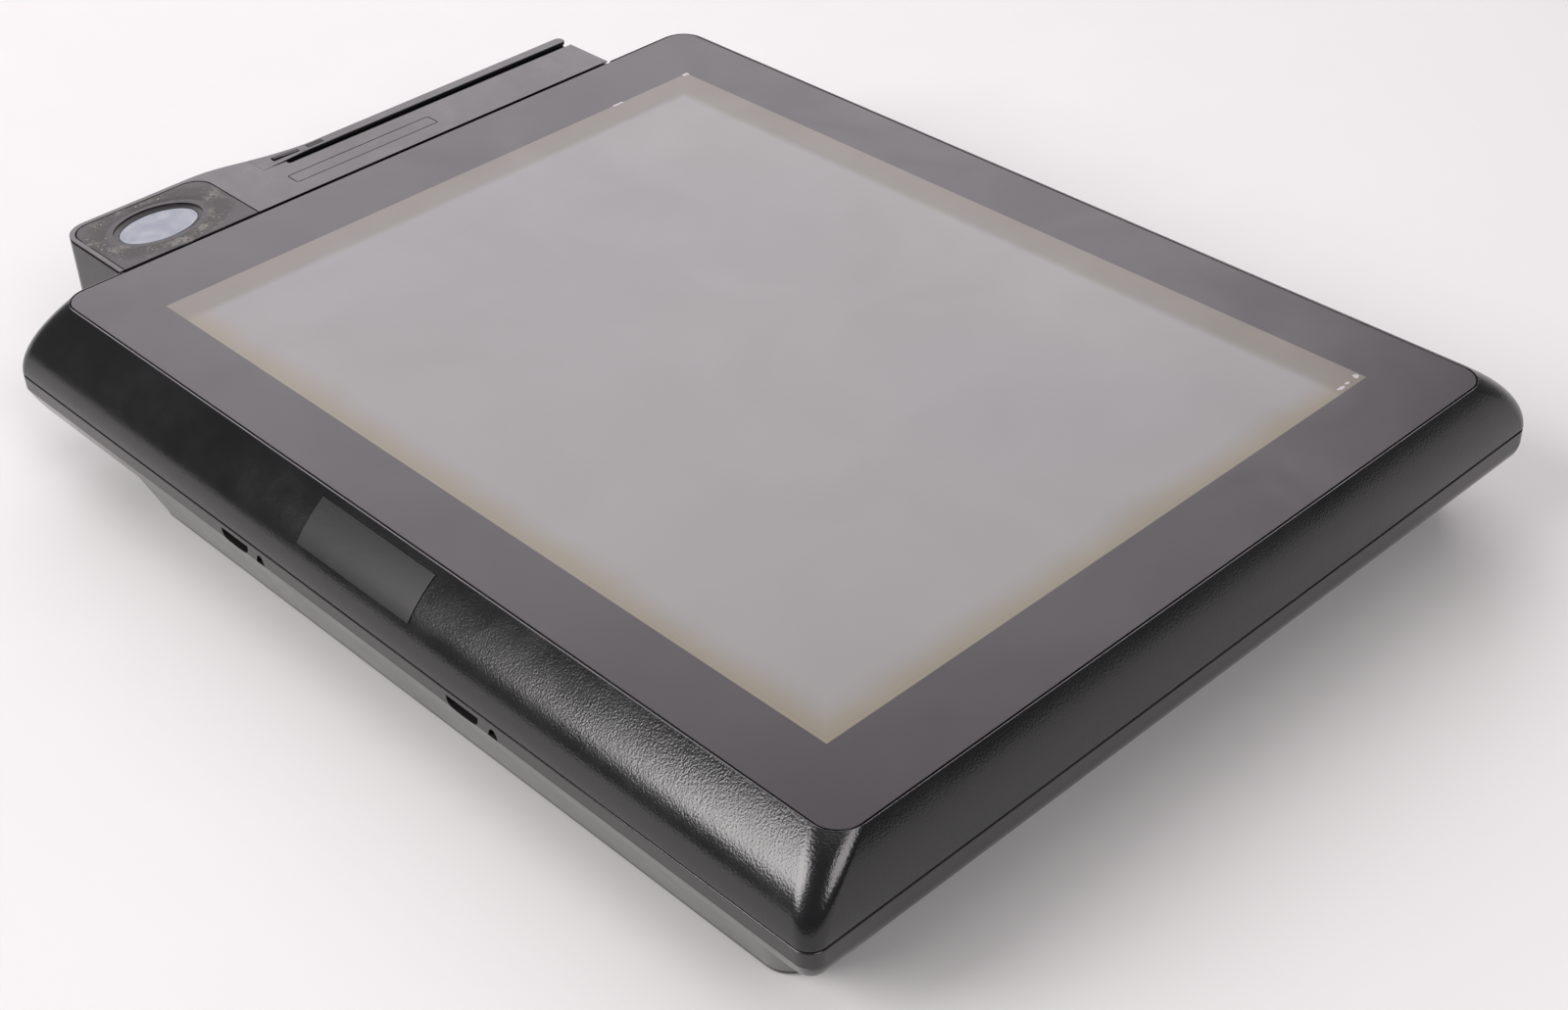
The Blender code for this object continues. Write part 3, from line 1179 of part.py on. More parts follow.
def build_drive():
    """Drive in its sliding tray, with the socket and backplane that it plugs into."""
    near = TRAY_NEAR
    far = TRAY_FAR
    bottom = COVER_FLOOR
    front = TRAY_FRONT_X
    back = TRAY_BACK_X
    body_empty("drive_tray", (front, DRIVE_Y, bottom))
    floor = bottom + TRAY_SHEET
    section = [(near, bottom), (far, bottom), (far, bottom + TRAY_WALL_HEIGHT),
               (far - TRAY_SHEET, bottom + TRAY_WALL_HEIGHT), (far - TRAY_SHEET, floor),
               (near + TRAY_SHEET, floor),
               (near + TRAY_SHEET, bottom + TRAY_WALL_HEIGHT), (near, bottom + TRAY_WALL_HEIGHT)]
    tray = add_part("drive_tray", slab([section], back, front - SINK, "X"), "black_abs", body="drive_tray")
    plate_top = bottom + TRAY_FRONT_HEIGHT - CLEAR
    pull_z = (bottom + plate_top) / 2
    fuse(tray, box((front - TRAY_FRONT_SHEET, near, bottom), (front, far, plate_top)))
    fuse(tray, box((front - SINK, DRIVE_Y - TRAY_PULL_LENGTH / 2, pull_z - TRAY_PULL_HEIGHT / 2),
                   (front + TRAY_PULL_DEPTH, DRIVE_Y + TRAY_PULL_LENGTH / 2, pull_z + TRAY_PULL_HEIGHT / 2)))
    drive_low = floor + CLEAR
    half = DRIVE_WIDTH / 2
    low = (back, DRIVE_Y - half, drive_low)
    high = (back + DRIVE_LENGTH, DRIVE_Y + half, drive_low + DRIVE_HEIGHT)
    add_part("drive", box(low, high), "aluminium", body="drive_tray")
    socket_right = back - CLEAR
    plane_right = socket_right - SOCKET_DEPTH
    z = drive_low + DRIVE_HEIGHT / 2
    foot = COVER_FLOOR + MOUNT_PLATE_SHEET + CLEAR
    plane = add_part("drive_backplane", box((plane_right - BACKPLANE_THICKNESS, DRIVE_Y - half, foot),
                                            (plane_right, DRIVE_Y + half, BOARD_BOTTOM - CLEAR)), "green_board")
    half = SOCKET_WIDTH / 2
    fuse(plane, box((plane_right - SINK, DRIVE_Y - half, z - SOCKET_HEIGHT / 2),
                    (socket_right, DRIVE_Y + half, z + SOCKET_HEIGHT / 2)))


def build_speakers():
    """Two loudspeakers facing the back: flange, hollow cone, basket and magnet, turned about their axis."""
    flange_top = COVER_FLOOR + SPEAKER_FLANGE
    magnet_low = COVER_FLOOR + SPEAKER_HEIGHT - SPEAKER_MAGNET_HEIGHT
    profile = [(0.0, COVER_FLOOR + SPEAKER_HEIGHT), (SPEAKER_MAGNET_RADIUS, COVER_FLOOR + SPEAKER_HEIGHT),
               (SPEAKER_MAGNET_RADIUS, magnet_low), (SPEAKER_RADIUS - SPEAKER_FLANGE, flange_top),
               (SPEAKER_RADIUS, flange_top), (SPEAKER_RADIUS, COVER_FLOOR),
               (SPEAKER_RADIUS - SPEAKER_FLANGE, COVER_FLOOR),
               (SPEAKER_DOME_RADIUS, COVER_FLOOR + SPEAKER_CONE_DEPTH),
               (0.0, COVER_FLOOR + SPEAKER_CONE_DEPTH / 2)]
    for name, x in (("speaker_left", SPEAKER_LEFT_X), ("speaker_right", SPEAKER_RIGHT_X)):
        speaker = turned(name, profile, "black_part", sides=FINE_SIDES)
        speaker.location = (x, SPEAKER_Y, 0.0)


def smooth_route(points, step):
    """Points at an even step along a curve that passes through a route's own points."""
    route = [Vector(point) for point in points]
    ends = [route[0] * 2 - route[1]] + route + [route[-1] * 2 - route[-2]]
    path = []
    for before, start, end, after in zip(ends, ends[1:], ends[2:], ends[3:]):
        count = max(2, round((end - start).length / step))
        for turn in range(count):
            t = turn / count
            bend = (2 * before - 5 * start + 4 * end - after) * t ** 2
            path.append(0.5 * (2 * start + (end - before) * t + bend
                               + (3 * start - before - 3 * end + after) * t ** 3))
    return path + [route[-1]]


def add_cable(name, points, radius):
    """A round cable along a route, with flat ends."""
    curve = bpy.data.curves.new(name, "CURVE")
    curve.dimensions = "3D"
    curve.bevel_depth = radius
    curve.bevel_resolution = 2
    curve.use_fill_caps = True
    path = smooth_route(points, CABLE_STEP)
    spline = curve.splines.new("POLY")
    spline.points.add(len(path) - 1)
    for point, place in zip(spline.points, path):
        point.co = (*place, 1.0)
    curve.materials.append(make_material(name, "grey_cable"))
    thing = bpy.data.objects.new(name, curve)
    thing.parent = BODIES[None]
    PARTS.objects.link(thing)


def add_small_board(name, x, y, length, width):
    """A small board under the chassis with two chips on it."""
    top = CHASSIS_BOTTOM - CLEAR
    bottom = top - SMALL_BOARD_THICKNESS
    board = add_part(name, box((x - length / 2, y - width / 2, bottom),
                               (x + length / 2, y + width / 2, top)),
                     "green_board")
    chips = []
    for side in (-1, 1):
        middle = x + side * length / 4
        chips.append(box((middle - CHIP_LENGTH / 2, y - CHIP_WIDTH / 2, bottom - SMALL_CHIP_HEIGHT),
                         (middle + CHIP_LENGTH / 2, y + CHIP_WIDTH / 2, bottom + SINK)))
    fuse(board, *chips)


def build_small_boards():
    """Touch controller and backlight driver, and the cable to the driver from the mainboard's top."""
    inset_x, inset_y = TOUCH_BOARD_INSET
    add_small_board("touch_board", HOUSING_RIGHT - inset_x, HOUSING_FAR - inset_y, TOUCH_BOARD_LENGTH,
                    TOUCH_BOARD_WIDTH)
    inset_x, inset_y = DRIVER_INSET
    driver_x = HOUSING_RIGHT - inset_x
    driver_y = HOUSING_FAR - inset_y
    add_small_board("backlight_driver", driver_x, driver_y, DRIVER_LENGTH, DRIVER_WIDTH)
    end_x = driver_x - DRIVER_LENGTH / 2 - RUNNING
    start_x = end_x - CABLE_REACH
    board_z = BOARD_TOP + CLEAR + CABLE_RADIUS
    driver_z = CHASSIS_BOTTOM - CLEAR - CABLE_RADIUS - CABLE_DROP
    end_y = driver_y - DRIVER_WIDTH / 4
    start_y = end_y - CABLE_SIDESTEP
    points = [(start_x, start_y, board_z), (start_x + CABLE_REACH * 0.4, start_y, board_z),
              (start_x + CABLE_REACH * 0.8, end_y, driver_z), (end_x, end_y, driver_z)]
    add_cable("driver_cable", points, CABLE_RADIUS)


def button_levels():
    """Levels of the power button's stack, from its face up to the switch board."""
    flange = BACK_FLOOR + CLEAR
    stem = flange + BUTTON_FLANGE_HEIGHT
    switch = stem + BUTTON_STEM_LENGTH + BUTTON_TRAVEL + CLEAR
    board = switch + SWITCH_HEIGHT
    return {"flange": flange, "stem": stem, "switch": switch, "board": board}


def build_power_button():
    """Power button through the flat back, and the small board with the switch above its stem."""
    levels = button_levels()
    face = BACK_Z - BUTTON_PROUD
    body_empty("power_button", (BUTTON_X, BUTTON_Y, face))
    cap = rod((BUTTON_X, BUTTON_Y, face), (BUTTON_X, BUTTON_Y, levels["flange"] + SINK), BUTTON_RADIUS,
              sides=FINE_SIDES)
    button = add_part("power_button", cap, "black_abs", body="power_button", smooth=True)
    fuse(button, rod((BUTTON_X, BUTTON_Y, levels["flange"]), (BUTTON_X, BUTTON_Y, levels["stem"]),
                     BUTTON_FLANGE_RADIUS, sides=FINE_SIDES))
    fuse(button, rod((BUTTON_X, BUTTON_Y, levels["stem"] - SINK),
                     (BUTTON_X, BUTTON_Y, levels["stem"] + BUTTON_STEM_LENGTH), BUTTON_STEM_RADIUS))
    x = BUTTON_BOARD_LENGTH / 2
    y = BUTTON_BOARD_WIDTH / 2
    top = levels["board"] + SMALL_BOARD_THICKNESS
    board = add_part("button_board", box((BUTTON_X - x, BUTTON_Y - y, levels["board"]),
                                         (BUTTON_X + x, BUTTON_Y + y, top)), "green_board")
    half = SWITCH_SIZE / 2
    fuse(board, box((BUTTON_X - half, BUTTON_Y - half, levels["switch"]),
                    (BUTTON_X + half, BUTTON_Y + half, levels["board"] + SINK)))


def outer_edge(y, inset=0.0):
    """The module's outer side at one place along it: wide at the scanner, slim along the slot.

    A half wave of a cosine joins the two widths.
    """
    share = min(max((y - WAIST_START) / (WAIST_END - WAIST_START), 0.0), 1.0)
    reach = MODULE_REACH + (MODULE_SLIM_REACH - MODULE_REACH) * (1 - math.cos(math.pi * share)) / 2
    return -HEAD_X - reach + inset


def waist_points(inset=0.0):
    """Points along the waist between the wide part and the slim part."""
    span = WAIST_END - WAIST_START
    places = [WAIST_START + span * step / WAIST_STEPS for step in range(WAIST_STEPS + 1)]
    return [(outer_edge(y, inset), y) for y in places]


def corner(x, y, radius, first, last):
    """A quarter round between two directions."""
    points = []
    for step in range(CORNER_STEPS + 1):
        angle = math.radians(first + (last - first) * step / CORNER_STEPS)
        points.append((x + radius * math.cos(angle), y + radius * math.sin(angle)))
    return points


def module_outline(inset, inner_x):
    """The reader module seen from above, drawn in by an inset, up to a straight inner side."""
    near = MODULE_NEAR + inset
    far = MODULE_FAR - inset
    radius = MODULE_CORNER - inset
    left = outer_edge(near, inset)
    outline = [(inner_x, near)] + corner(left + radius, near + radius, radius, 270, 180)
    outline += waist_points(inset)
    radius = max(MODULE_FAR_CORNER - inset, GUARD_PROUD)
    left = outer_edge(far, inset)
    outline += corner(left + radius, far - radius, radius, 180, 90)
    outline.append((inner_x, far))
    return outline


def rail_outline():
    """The guard rail seen from above, round at its far end."""
    start = GUARD_START
    far = MODULE_FAR
    outer = outer_edge(far)
    radius = GUARD_END_RADIUS
    outline = [(SLOT_OUTER_X, start), (outer_edge(start), start)]
    outline += [(x, y) for x, y in waist_points() if y > start + SINK]
    outline += corner(outer + radius, far - radius, radius, 180, 90)
    outline += corner(SLOT_OUTER_X - radius, far - radius, radius, 90, 0)
    return outline


def rail_gap():
    """What the lid leaves out for the guard rail, past the lid's own edges."""
    start = GUARD_START - CLEAR
    outline = [(SLOT_X, start), (outer_edge(start) - OVERRUN, start)]
    outline += [(x - OVERRUN, y) for x, y in waist_points() if y > start + SINK]
    far = MODULE_FAR + OVERRUN
    outline += [(outer_edge(far) - OVERRUN, far), (SLOT_X, far)]
    return outline


def scanner_plan(grow, inner):
    """The scanner plate seen from above, grown by a gap, with square corners at its inner end."""
    left = outer_edge(SCANNER_NEAR) + SCANNER_MARGIN - grow
    radius = SCANNER_CORNER
    near = SCANNER_NEAR - grow
    far = SCANNER_FAR + grow
    outline = [(inner, near)] + corner(left + radius, near + radius, radius, 270, 180)
    outline += corner(left + radius, far - radius, radius, 180, 90)
    outline.append((inner, far))
    return outline


def build_module_case():
    """Reader module's case: an open tub shaped to the head, with ribs, bosses and posts inside."""
    case = add_part("module_case", slab([module_outline(0.0, -RIM_X)], MODULE_BOTTOM, CASE_TOP), "black_abs",
                    smooth=True)
    cut(case, slab([module_outline(MODULE_WALL, CASE_INNER_X)], CASE_FLOOR, CASE_TOP + OVERRUN))
    extras = []
    length = MODULE_FAR - SWIPE_START
    for share in LINER_RIB_SHARES:
        y = SWIPE_START + length * share
        extras.append(box((LINER_OUTER_X + CLEAR, y - LINER_RIB_WIDTH / 2, CASE_FLOOR - SINK),
                          (LINER_INNER_X - CLEAR, y + LINER_RIB_WIDTH / 2, LINER_BOTTOM - CLEAR)))
    for y in (MODULE_SCREW_NEAR, MODULE_SCREW_FAR):
        extras.append(box((CASE_INNER_X - BOSS_LENGTH, y - BOSS_WIDTH / 2, CASE_FLOOR - SINK),
                          (CASE_INNER_X + SINK, y + BOSS_WIDTH / 2, CASE_FLOOR + BOSS_HEIGHT)))
    levels = scanner_levels()
    half = SENSOR_BOARD_LENGTH / 2 - SENSOR_POST_RADIUS
    for side in (-1, 1):
        y = WINDOW_Y + side * half
        x = WINDOW_X - SENSOR_POST_RADIUS
        extras.append(rod((x, y, CASE_FLOOR - SINK), (x, y, levels["board"] - CLEAR), SENSOR_POST_RADIUS,
                          sides=8))
    fuse(case, *extras)
    cuts = [head_envelope(), scanner_rim(WINDOW_BOTTOM - RUNNING, CASE_TOP + OVERRUN, RUNNING),
            box((LINER_OUTER_X - CLEAR, MODULE_FAR - MODULE_WALL - OVERRUN, LINER_BOTTOM - CLEAR),
                (LINER_INNER_X + CLEAR, MODULE_FAR + OVERRUN, CASE_TOP + OVERRUN))]
    cut(case, *cuts)
    start = -HEAD_X + OVERRUN
    tip = -HEAD_X - MODULE_SCREW_LENGTH
    bores = [rod((start, y, MODULE_SCREW_Z), (tip, y, MODULE_SCREW_Z), HOLE_RADIUS, sides=8)
             for y in (MODULE_SCREW_NEAR, MODULE_SCREW_FAR)]
    bores.append(rod((start, MODULE_CABLE_Y, MODULE_CABLE_Z), (CASE_INNER_X - OVERRUN, MODULE_CABLE_Y,
                                                               MODULE_CABLE_Z),
                     MODULE_CABLE_HOLE))
    cut(case, *bores)


def build_module_screws():
    """Two screws from inside the bezel that hold the module."""
    head_x = -HEAD_X + BEZEL_WALL + MODULE_SCREW_SEAT + HEAD_HEIGHT
    length = head_x + HEAD_X + MODULE_SCREW_LENGTH - CLEAR
    places = [((head_x, y, MODULE_SCREW_Z), -math.pi / 2) for y in (MODULE_SCREW_NEAR, MODULE_SCREW_FAR)]
    add_screws("module_screw", places, length)


def build_lid():
    """Module lid with its openings, the plain inlay, the guard rail and the status windows."""
    lid = add_part("module_lid", slab([module_outline(0.0, LID_INNER_X)], LID_BOTTOM, LID_TOP), "black_abs")
    slot_start = SWIPE_START + SWIPE_WIDTH / 2
    slot = [slab([scanner_plan(CLEAR, LID_INNER_X + OVERRUN)], LID_BOTTOM - OVERRUN, LID_TOP + OVERRUN),
            rod((SLOT_X, slot_start, LID_BOTTOM - OVERRUN), (SLOT_X, slot_start, LID_TOP + OVERRUN),
                SWIPE_WIDTH / 2)]
    cut(lid, *slot)
    cut(lid, box((SLOT_OUTER_X, slot_start, LID_BOTTOM - OVERRUN), (SLOT_INNER_X, MODULE_FAR + OVERRUN,
                                                                  LID_TOP + OVERRUN)))
    cut(lid, slab([rail_gap()], LID_BOTTOM - OVERRUN, LID_TOP + OVERRUN))
    half_x = INLAY_WIDTH / 2
    half_y = INLAY_LENGTH / 2
    pocket = rounded(INLAY_X - half_x, INLAY_X + half_x, INLAY_Y - half_y, INLAY_Y + half_y, INLAY_CORNER,
                     steps=2)
    cut(lid, slab([pocket], LID_TOP - INLAY_DEPTH, LID_TOP + OVERRUN))
    half_x -= CLEAR
    half_y -= CLEAR
    inlay = rounded(INLAY_X - half_x, INLAY_X + half_x, INLAY_Y - half_y, INLAY_Y + half_y,
                    INLAY_CORNER - CLEAR,
                    steps=2)
    add_part("reader_inlay", slab([inlay], LID_TOP - INLAY_DEPTH + CLEAR, LID_TOP), "black_part")

    rail_top = LID_TOP + GUARD_PROUD
    rail = add_part("guard_rail", slab([rail_outline()], LID_BOTTOM, rail_top), "black_abs", smooth=True)
    windows, bar = status_outlines(CLEAR)
    cut(rail, slab([bar], LID_BOTTOM - OVERRUN, LID_BOTTOM + STATUS_BAR_HEIGHT + 2 * CLEAR))
    cut(rail, *[slab([window], LID_BOTTOM + STATUS_BAR_HEIGHT, rail_top + OVERRUN) for window in windows])
    windows, bar = status_outlines(0.0)
    guide = add_part("light_guide", slab([bar], LID_BOTTOM + CLEAR, LID_BOTTOM + CLEAR + STATUS_BAR_HEIGHT),
                     "smoke_window")
    fuse(guide, *[slab([window], LID_BOTTOM + STATUS_BAR_HEIGHT, rail_top) for window in windows])


def status_outlines(grow):
    """The two status windows seen from above, and the bar that joins them under the rail's top."""
    half = STATUS_WIDTH / 2 + grow
    windows = []
    for y, length in ((STATUS_LONG_Y, STATUS_LONG_LENGTH), (STATUS_SHORT_Y, STATUS_SHORT_LENGTH)):
        near = y - length / 2 - grow
        far = y + length / 2 + grow
        near_x = (outer_edge(near) + SLOT_OUTER_X) / 2
        far_x = (outer_edge(far) + SLOT_OUTER_X) / 2
        windows.append([(near_x - half, near), (near_x + half, near), (far_x + half, far),
                        (far_x - half, far)])
    bar = [windows[0][0], windows[0][1], windows[0][2], windows[1][2], windows[1][3], windows[0][3]]
    return windows, bar


def build_slot():
    """Slot liner, read head on its leaf spring, and the reader's board."""
    liner = add_part("slot_liner", box((LINER_OUTER_X, SWIPE_START, LINER_BOTTOM),
                                       (LINER_INNER_X, MODULE_FAR,
                                                                                  LINER_TOP)), "black_part")
    cut(liner, box((SLOT_OUTER_X, SWIPE_START + SWIPE_WIDTH / 2, LINER_BOTTOM + LINER_WALL),
                   (SLOT_INNER_X, MODULE_FAR + OVERRUN, LINER_TOP + OVERRUN)))
    z = LID_TOP - READ_HEAD_DROP
    half_y = READ_HEAD_LENGTH / 2
    half_z = READ_HEAD_HEIGHT / 2
    cut(liner, box((SLOT_X, READ_HEAD_Y - half_y - RUNNING, z - half_z - RUNNING),
                   (LINER_INNER_X + OVERRUN, READ_HEAD_Y + half_y + RUNNING, z + half_z + RUNNING)))
    tip_x = SLOT_INNER_X - READ_HEAD_PROUD
    back_x = tip_x + READ_HEAD_DEPTH
    leaf_x = back_x + CLEAR
    seats = []
    for side in (-1, 1):
        y = READ_HEAD_Y + side * (LEAF_LENGTH - LEAF_SEAT) / 2
        seats.append(box((LINER_INNER_X - SINK, y - LEAF_SEAT / 2, z - LEAF_HEIGHT / 2),
                         (leaf_x - CLEAR, y + LEAF_SEAT / 2, z + LEAF_HEIGHT / 2)))
    fuse(liner, *seats)
    body_empty("read_head", (tip_x, READ_HEAD_Y, z))
    head = slab([rounded(tip_x, back_x, READ_HEAD_Y - half_y, READ_HEAD_Y + half_y, READ_HEAD_DEPTH / 3,
                         steps=2)],
                z - half_z, z + half_z)
    add_part("read_head", head, "bare_steel", body="read_head", smooth=True)
    leaf = box((leaf_x, READ_HEAD_Y - LEAF_LENGTH / 2, z - LEAF_HEIGHT / 2),
               (leaf_x + LEAF_SHEET, READ_HEAD_Y + LEAF_LENGTH / 2, z + LEAF_HEIGHT / 2))
    add_part("head_spring", leaf, "brass", body="read_head")
    board_x = leaf_x + LEAF_SHEET + READER_BOARD_GAP
    low = (board_x, READ_HEAD_Y - READER_BOARD_LENGTH / 2, CASE_FLOOR + CLEAR)
    high = (board_x + BOARD_THICKNESS, READ_HEAD_Y + READER_BOARD_LENGTH / 2,
            CASE_FLOOR + READER_BOARD_HEIGHT)
    add_part("reader_board", box(low, high), "green_board")
    start_x = BOARD_LEFT - CLEAR
    end_x = board_x + BOARD_THICKNESS + CLEAR
    wall_x = -HEAD_X
    board_z = (BOARD_TOP + BOARD_BOTTOM) / 2
    span = start_x - wall_x
    y = MODULE_CABLE_Y
    points = [(start_x, y, board_z), (start_x - span * 0.25, y, board_z),
              (start_x - span * 0.85, y, MODULE_CABLE_Z), (wall_x, y, MODULE_CABLE_Z),
              (end_x, y, MODULE_CABLE_Z)]
    add_cable("module_cable", points, MODULE_CABLE_RADIUS)


def scanner_levels():
    """Levels of the scanner's stack below its window."""
    sensor_top = WINDOW_BOTTOM - CLEAR
    board_top = sensor_top - SENSOR_HEIGHT
    return {"sensor": sensor_top, "board": board_top - SMALL_BOARD_THICKNESS, "board_top": board_top}


def oval(width, length, low, high, low_grow=0.0):
    """An upright oval bar at the window, wider or narrower at its lower end."""
    return rod((WINDOW_X, WINDOW_Y, low), (WINDOW_X, WINDOW_Y, high), length / 2 + low_grow,
               sides=OVAL_SIDES,
               end_radius=length / 2, squeeze=width / length)


def scanner_rim(low, high, grow):
    """The oval rim under the scanner plate that the window sits in."""
    margin = CLEAR + DISH_WALL + grow
    return oval(WINDOW_WIDTH + 2 * margin, WINDOW_LENGTH + 2 * margin, low, high)


def build_scanner():
    """Finger scanner: dished plate, oval window, and the sensor block on its board."""
    plate = add_part("scanner_plate", slab([scanner_plan(0.0, LID_INNER_X)], LID_BOTTOM, LID_TOP),
                     "black_abs", smooth=True)
    fuse(plate, scanner_rim(WINDOW_BOTTOM, LID_BOTTOM + SINK, 0.0))
    floor = LID_TOP - DISH_DEPTH
    steepness = (DISH_LENGTH - WINDOW_LENGTH) / 2 / DISH_DEPTH
    rise = OVERRUN
    top_length = DISH_LENGTH + 2 * steepness * rise
    dish = rod((0.0, 0.0, floor), (0.0, 0.0, LID_TOP + rise), WINDOW_LENGTH / 2, sides=OVAL_SIDES,
               end_radius=top_length / 2)
    bottom_share = WINDOW_WIDTH / WINDOW_LENGTH
    top_share = (DISH_WIDTH + 2 * rise * (DISH_WIDTH - WINDOW_WIDTH) / 2 / DISH_DEPTH) / top_length
    for vertex in dish.verts:
        vertex.co.x *= bottom_share if vertex.co.z < LID_TOP else top_share
    bmesh.ops.translate(dish, verts=dish.verts, vec=(WINDOW_X, WINDOW_Y, 0.0))
    cut(plate, dish)
    cut(plate, oval(WINDOW_WIDTH + CLEAR, WINDOW_LENGTH + CLEAR, WINDOW_BOTTOM - OVERRUN, LID_TOP))
    add_part("scanner_window", oval(WINDOW_WIDTH - CLEAR, WINDOW_LENGTH - CLEAR, WINDOW_BOTTOM, WINDOW_TOP),
             "blue_window", smooth=True)
    levels = scanner_levels()
    x = SENSOR_WIDTH / 2
    y = SENSOR_LENGTH / 2
    sensor = add_part("scanner_sensor", box((WINDOW_X - x, WINDOW_Y - y, levels["board_top"] - SINK),
                                            (WINDOW_X + x, WINDOW_Y + y, levels["sensor"])), "black_part")
    x = SENSOR_BOARD_WIDTH / 2
    y = SENSOR_BOARD_LENGTH / 2
    fuse(sensor, box((WINDOW_X - x, WINDOW_Y - y, levels["board"]),
                     (WINDOW_X + x, WINDOW_Y + y, levels["board_top"])))


clear_scene()
PARTS = make_collection("pos_terminal")
CUTTERS = make_collection("cutters")
ROOT = bpy.data.objects.new("terminal_origin", None)
ROOT.location = (MODULE_REACH / 2, 0.0, 0.0)
PARTS.objects.link(ROOT)
BODIES = {None: ROOT}

build_glass()
build_bezel()
build_plate()
build_panel()
build_chassis()
build_rear_cover()
build_mount_plate()
build_mainboard()
build_ports()
build_cable_cover()
build_drive()
build_speakers()
build_small_boards()
build_power_button()
build_module_case()
build_module_screws()
build_lid()
build_slot()
build_scanner()
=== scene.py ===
"""Looks of the counter terminal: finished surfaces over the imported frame, on a white table in soft light."""

import math

import bmesh
import bpy
import numpy as np
from mathutils import Matrix, Vector


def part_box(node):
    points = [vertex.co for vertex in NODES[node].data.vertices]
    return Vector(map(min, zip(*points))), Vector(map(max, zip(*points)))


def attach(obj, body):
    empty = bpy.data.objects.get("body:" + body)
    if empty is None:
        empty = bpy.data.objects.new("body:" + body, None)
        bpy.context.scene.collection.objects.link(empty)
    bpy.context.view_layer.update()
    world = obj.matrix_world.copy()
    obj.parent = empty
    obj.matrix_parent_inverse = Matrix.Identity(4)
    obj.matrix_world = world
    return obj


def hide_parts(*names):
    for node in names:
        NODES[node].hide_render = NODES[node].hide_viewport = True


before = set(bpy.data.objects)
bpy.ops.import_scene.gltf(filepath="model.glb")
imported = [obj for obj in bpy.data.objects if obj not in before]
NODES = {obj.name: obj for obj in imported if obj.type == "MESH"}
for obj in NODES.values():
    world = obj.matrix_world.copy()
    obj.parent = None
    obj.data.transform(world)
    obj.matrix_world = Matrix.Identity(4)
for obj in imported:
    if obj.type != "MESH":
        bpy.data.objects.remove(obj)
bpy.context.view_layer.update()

# Every length below is in millimetres, measured from the middle of the head and up from the table
MM = 0.001
HEAD_MIDDLE = 16.75

# Head
HEAD_X = 186.0
HEAD_Y = 154.0
HEAD_CORNER = 5.5
RIM_X = 179.4
RIM_Y = 137.4
RIM_CORNER = 10.1
SLOPE_X = HEAD_X - RIM_X
SLOPE_Y = HEAD_Y - RIM_Y
PARTING = 33.5
HEAD_TOP = 55.5
BEZEL_WALL = 2.5
GLASS_X = 178.6
GLASS_Y = 136.4
GLASS_CORNER = 8.0
GLASS_LOW = 53.7
GLASS_GAP = 0.4
LEDGE_X = 156.95
LEDGE_Y = 120.45
LEDGE_TOP = 52.3
LEDGE_LOW = 50.3
SCREEN_X = 151.4
SCREEN_Y = 113.6
SCREEN_MIDDLE = (1.4, -1.2)
LABEL_X = (-27.0, 26.0)
LABEL_SHARES = (0.45, 0.93)

# Rear cover
BAND_TOP = 33.0
BAND_ROUND = 7.0
BAND_CREASE = 28.0
BAND_INSET_Y = 3.1
BACK = 21.0
BACK_FLOOR = 23.5
COVER_WALL = 2.5
HOUSING = (-130.0, 173.5, -150.7, 147.0)
HOUSING_DRAFT = (0.8, 7.8, 8.8, 2.0)
HOUSING_CORNER = 9.0
HOUSING_EDGE = 2.0
CABLE_OPENING = ((-110.0, 99.0), (60.0, 157.0))
CABLE_OPENING_TOP = 19.0
DRIVE_OPENING = ((160.5, -136.3, 2.5), (186.0, -61.7, 13.2))
DRIVE_RUNNERS = (-137.5, -61.7)
HOOKS = (-58.2, 51.9)
VENTS = ((-92.0, 5, 24.0), (28.0, 5, 24.0), (-32.0, 10, 34.0))
VENT_PITCH = 5.0
VENT_MIDDLE_Y = -108
MOUNT_HOLES = (-50.0, 50.0)
POSTS = ((-118.0, -128.0), (-118.0, 118.0), (158.0, -46.7), (158.0, 118.0))
BUTTON = (-155.0, 120.0)

# Reader module
MODULE_NEAR = -113.5
MODULE_FAR = 99.5
MODULE_LOW = 29.0
CASE_TOP = 54.2
LID_LOW = 53.3
LID_EDGE = 54.9
LID_TOP = 55.3
LID_INNER = -180.5
WIDE_REACH = 33.5
SLIM_REACH = 23.5
WAIST_START = -62.0
WAIST_LENGTH = 46.0
SLOT_INNER = -202.1
SLOT_OUTER = -204.7
SLOT_MIDDLE = -203.4
SLOT_HALF = 1.3
SLOT_START = -31.0
RAIL_START = -40.0
RAIL_TOP = 56.0
RAIL_BEND = 2.1
RAMP_END = -20.0
STATUS_WINDOWS = ((-28.5, 10.0), (-16.5, 6.2))
INLAY = (-194.55, -188.45, -36.7, 24.7)
INLAY_OPENING = (-194.85, -188.15, -37.0, 25.0)
MODULE_SCREWS_Y = (-60.0, 87.5)
MODULE_SCREWS_Z = 38.2
CABLE_HOLE = (-4.0, 37.2)
CABLE_HOLE_RADIUS = 2.1
WINDOW = (-200.4, -86.3)
WINDOW_LENGTH = 29.0
WINDOW_WIDTH = 18.8
WINDOW_GAP = 0.15
WINDOW_LOW = 51.2
WINDOW_TOP = 53.78
BOSS = (11.6, 16.4)
CASE_OPENING = (24.4, 34.0)
DISH_LENGTH = 43.5
DISH_WIDTH = 31.0
DISH_DEPTH = 1.5
SCANNER_LEFT = -217.3
SCANNER_NEAR = -111.5
SCANNER_FAR = -58.5
SCANNER_CORNER = 7.5

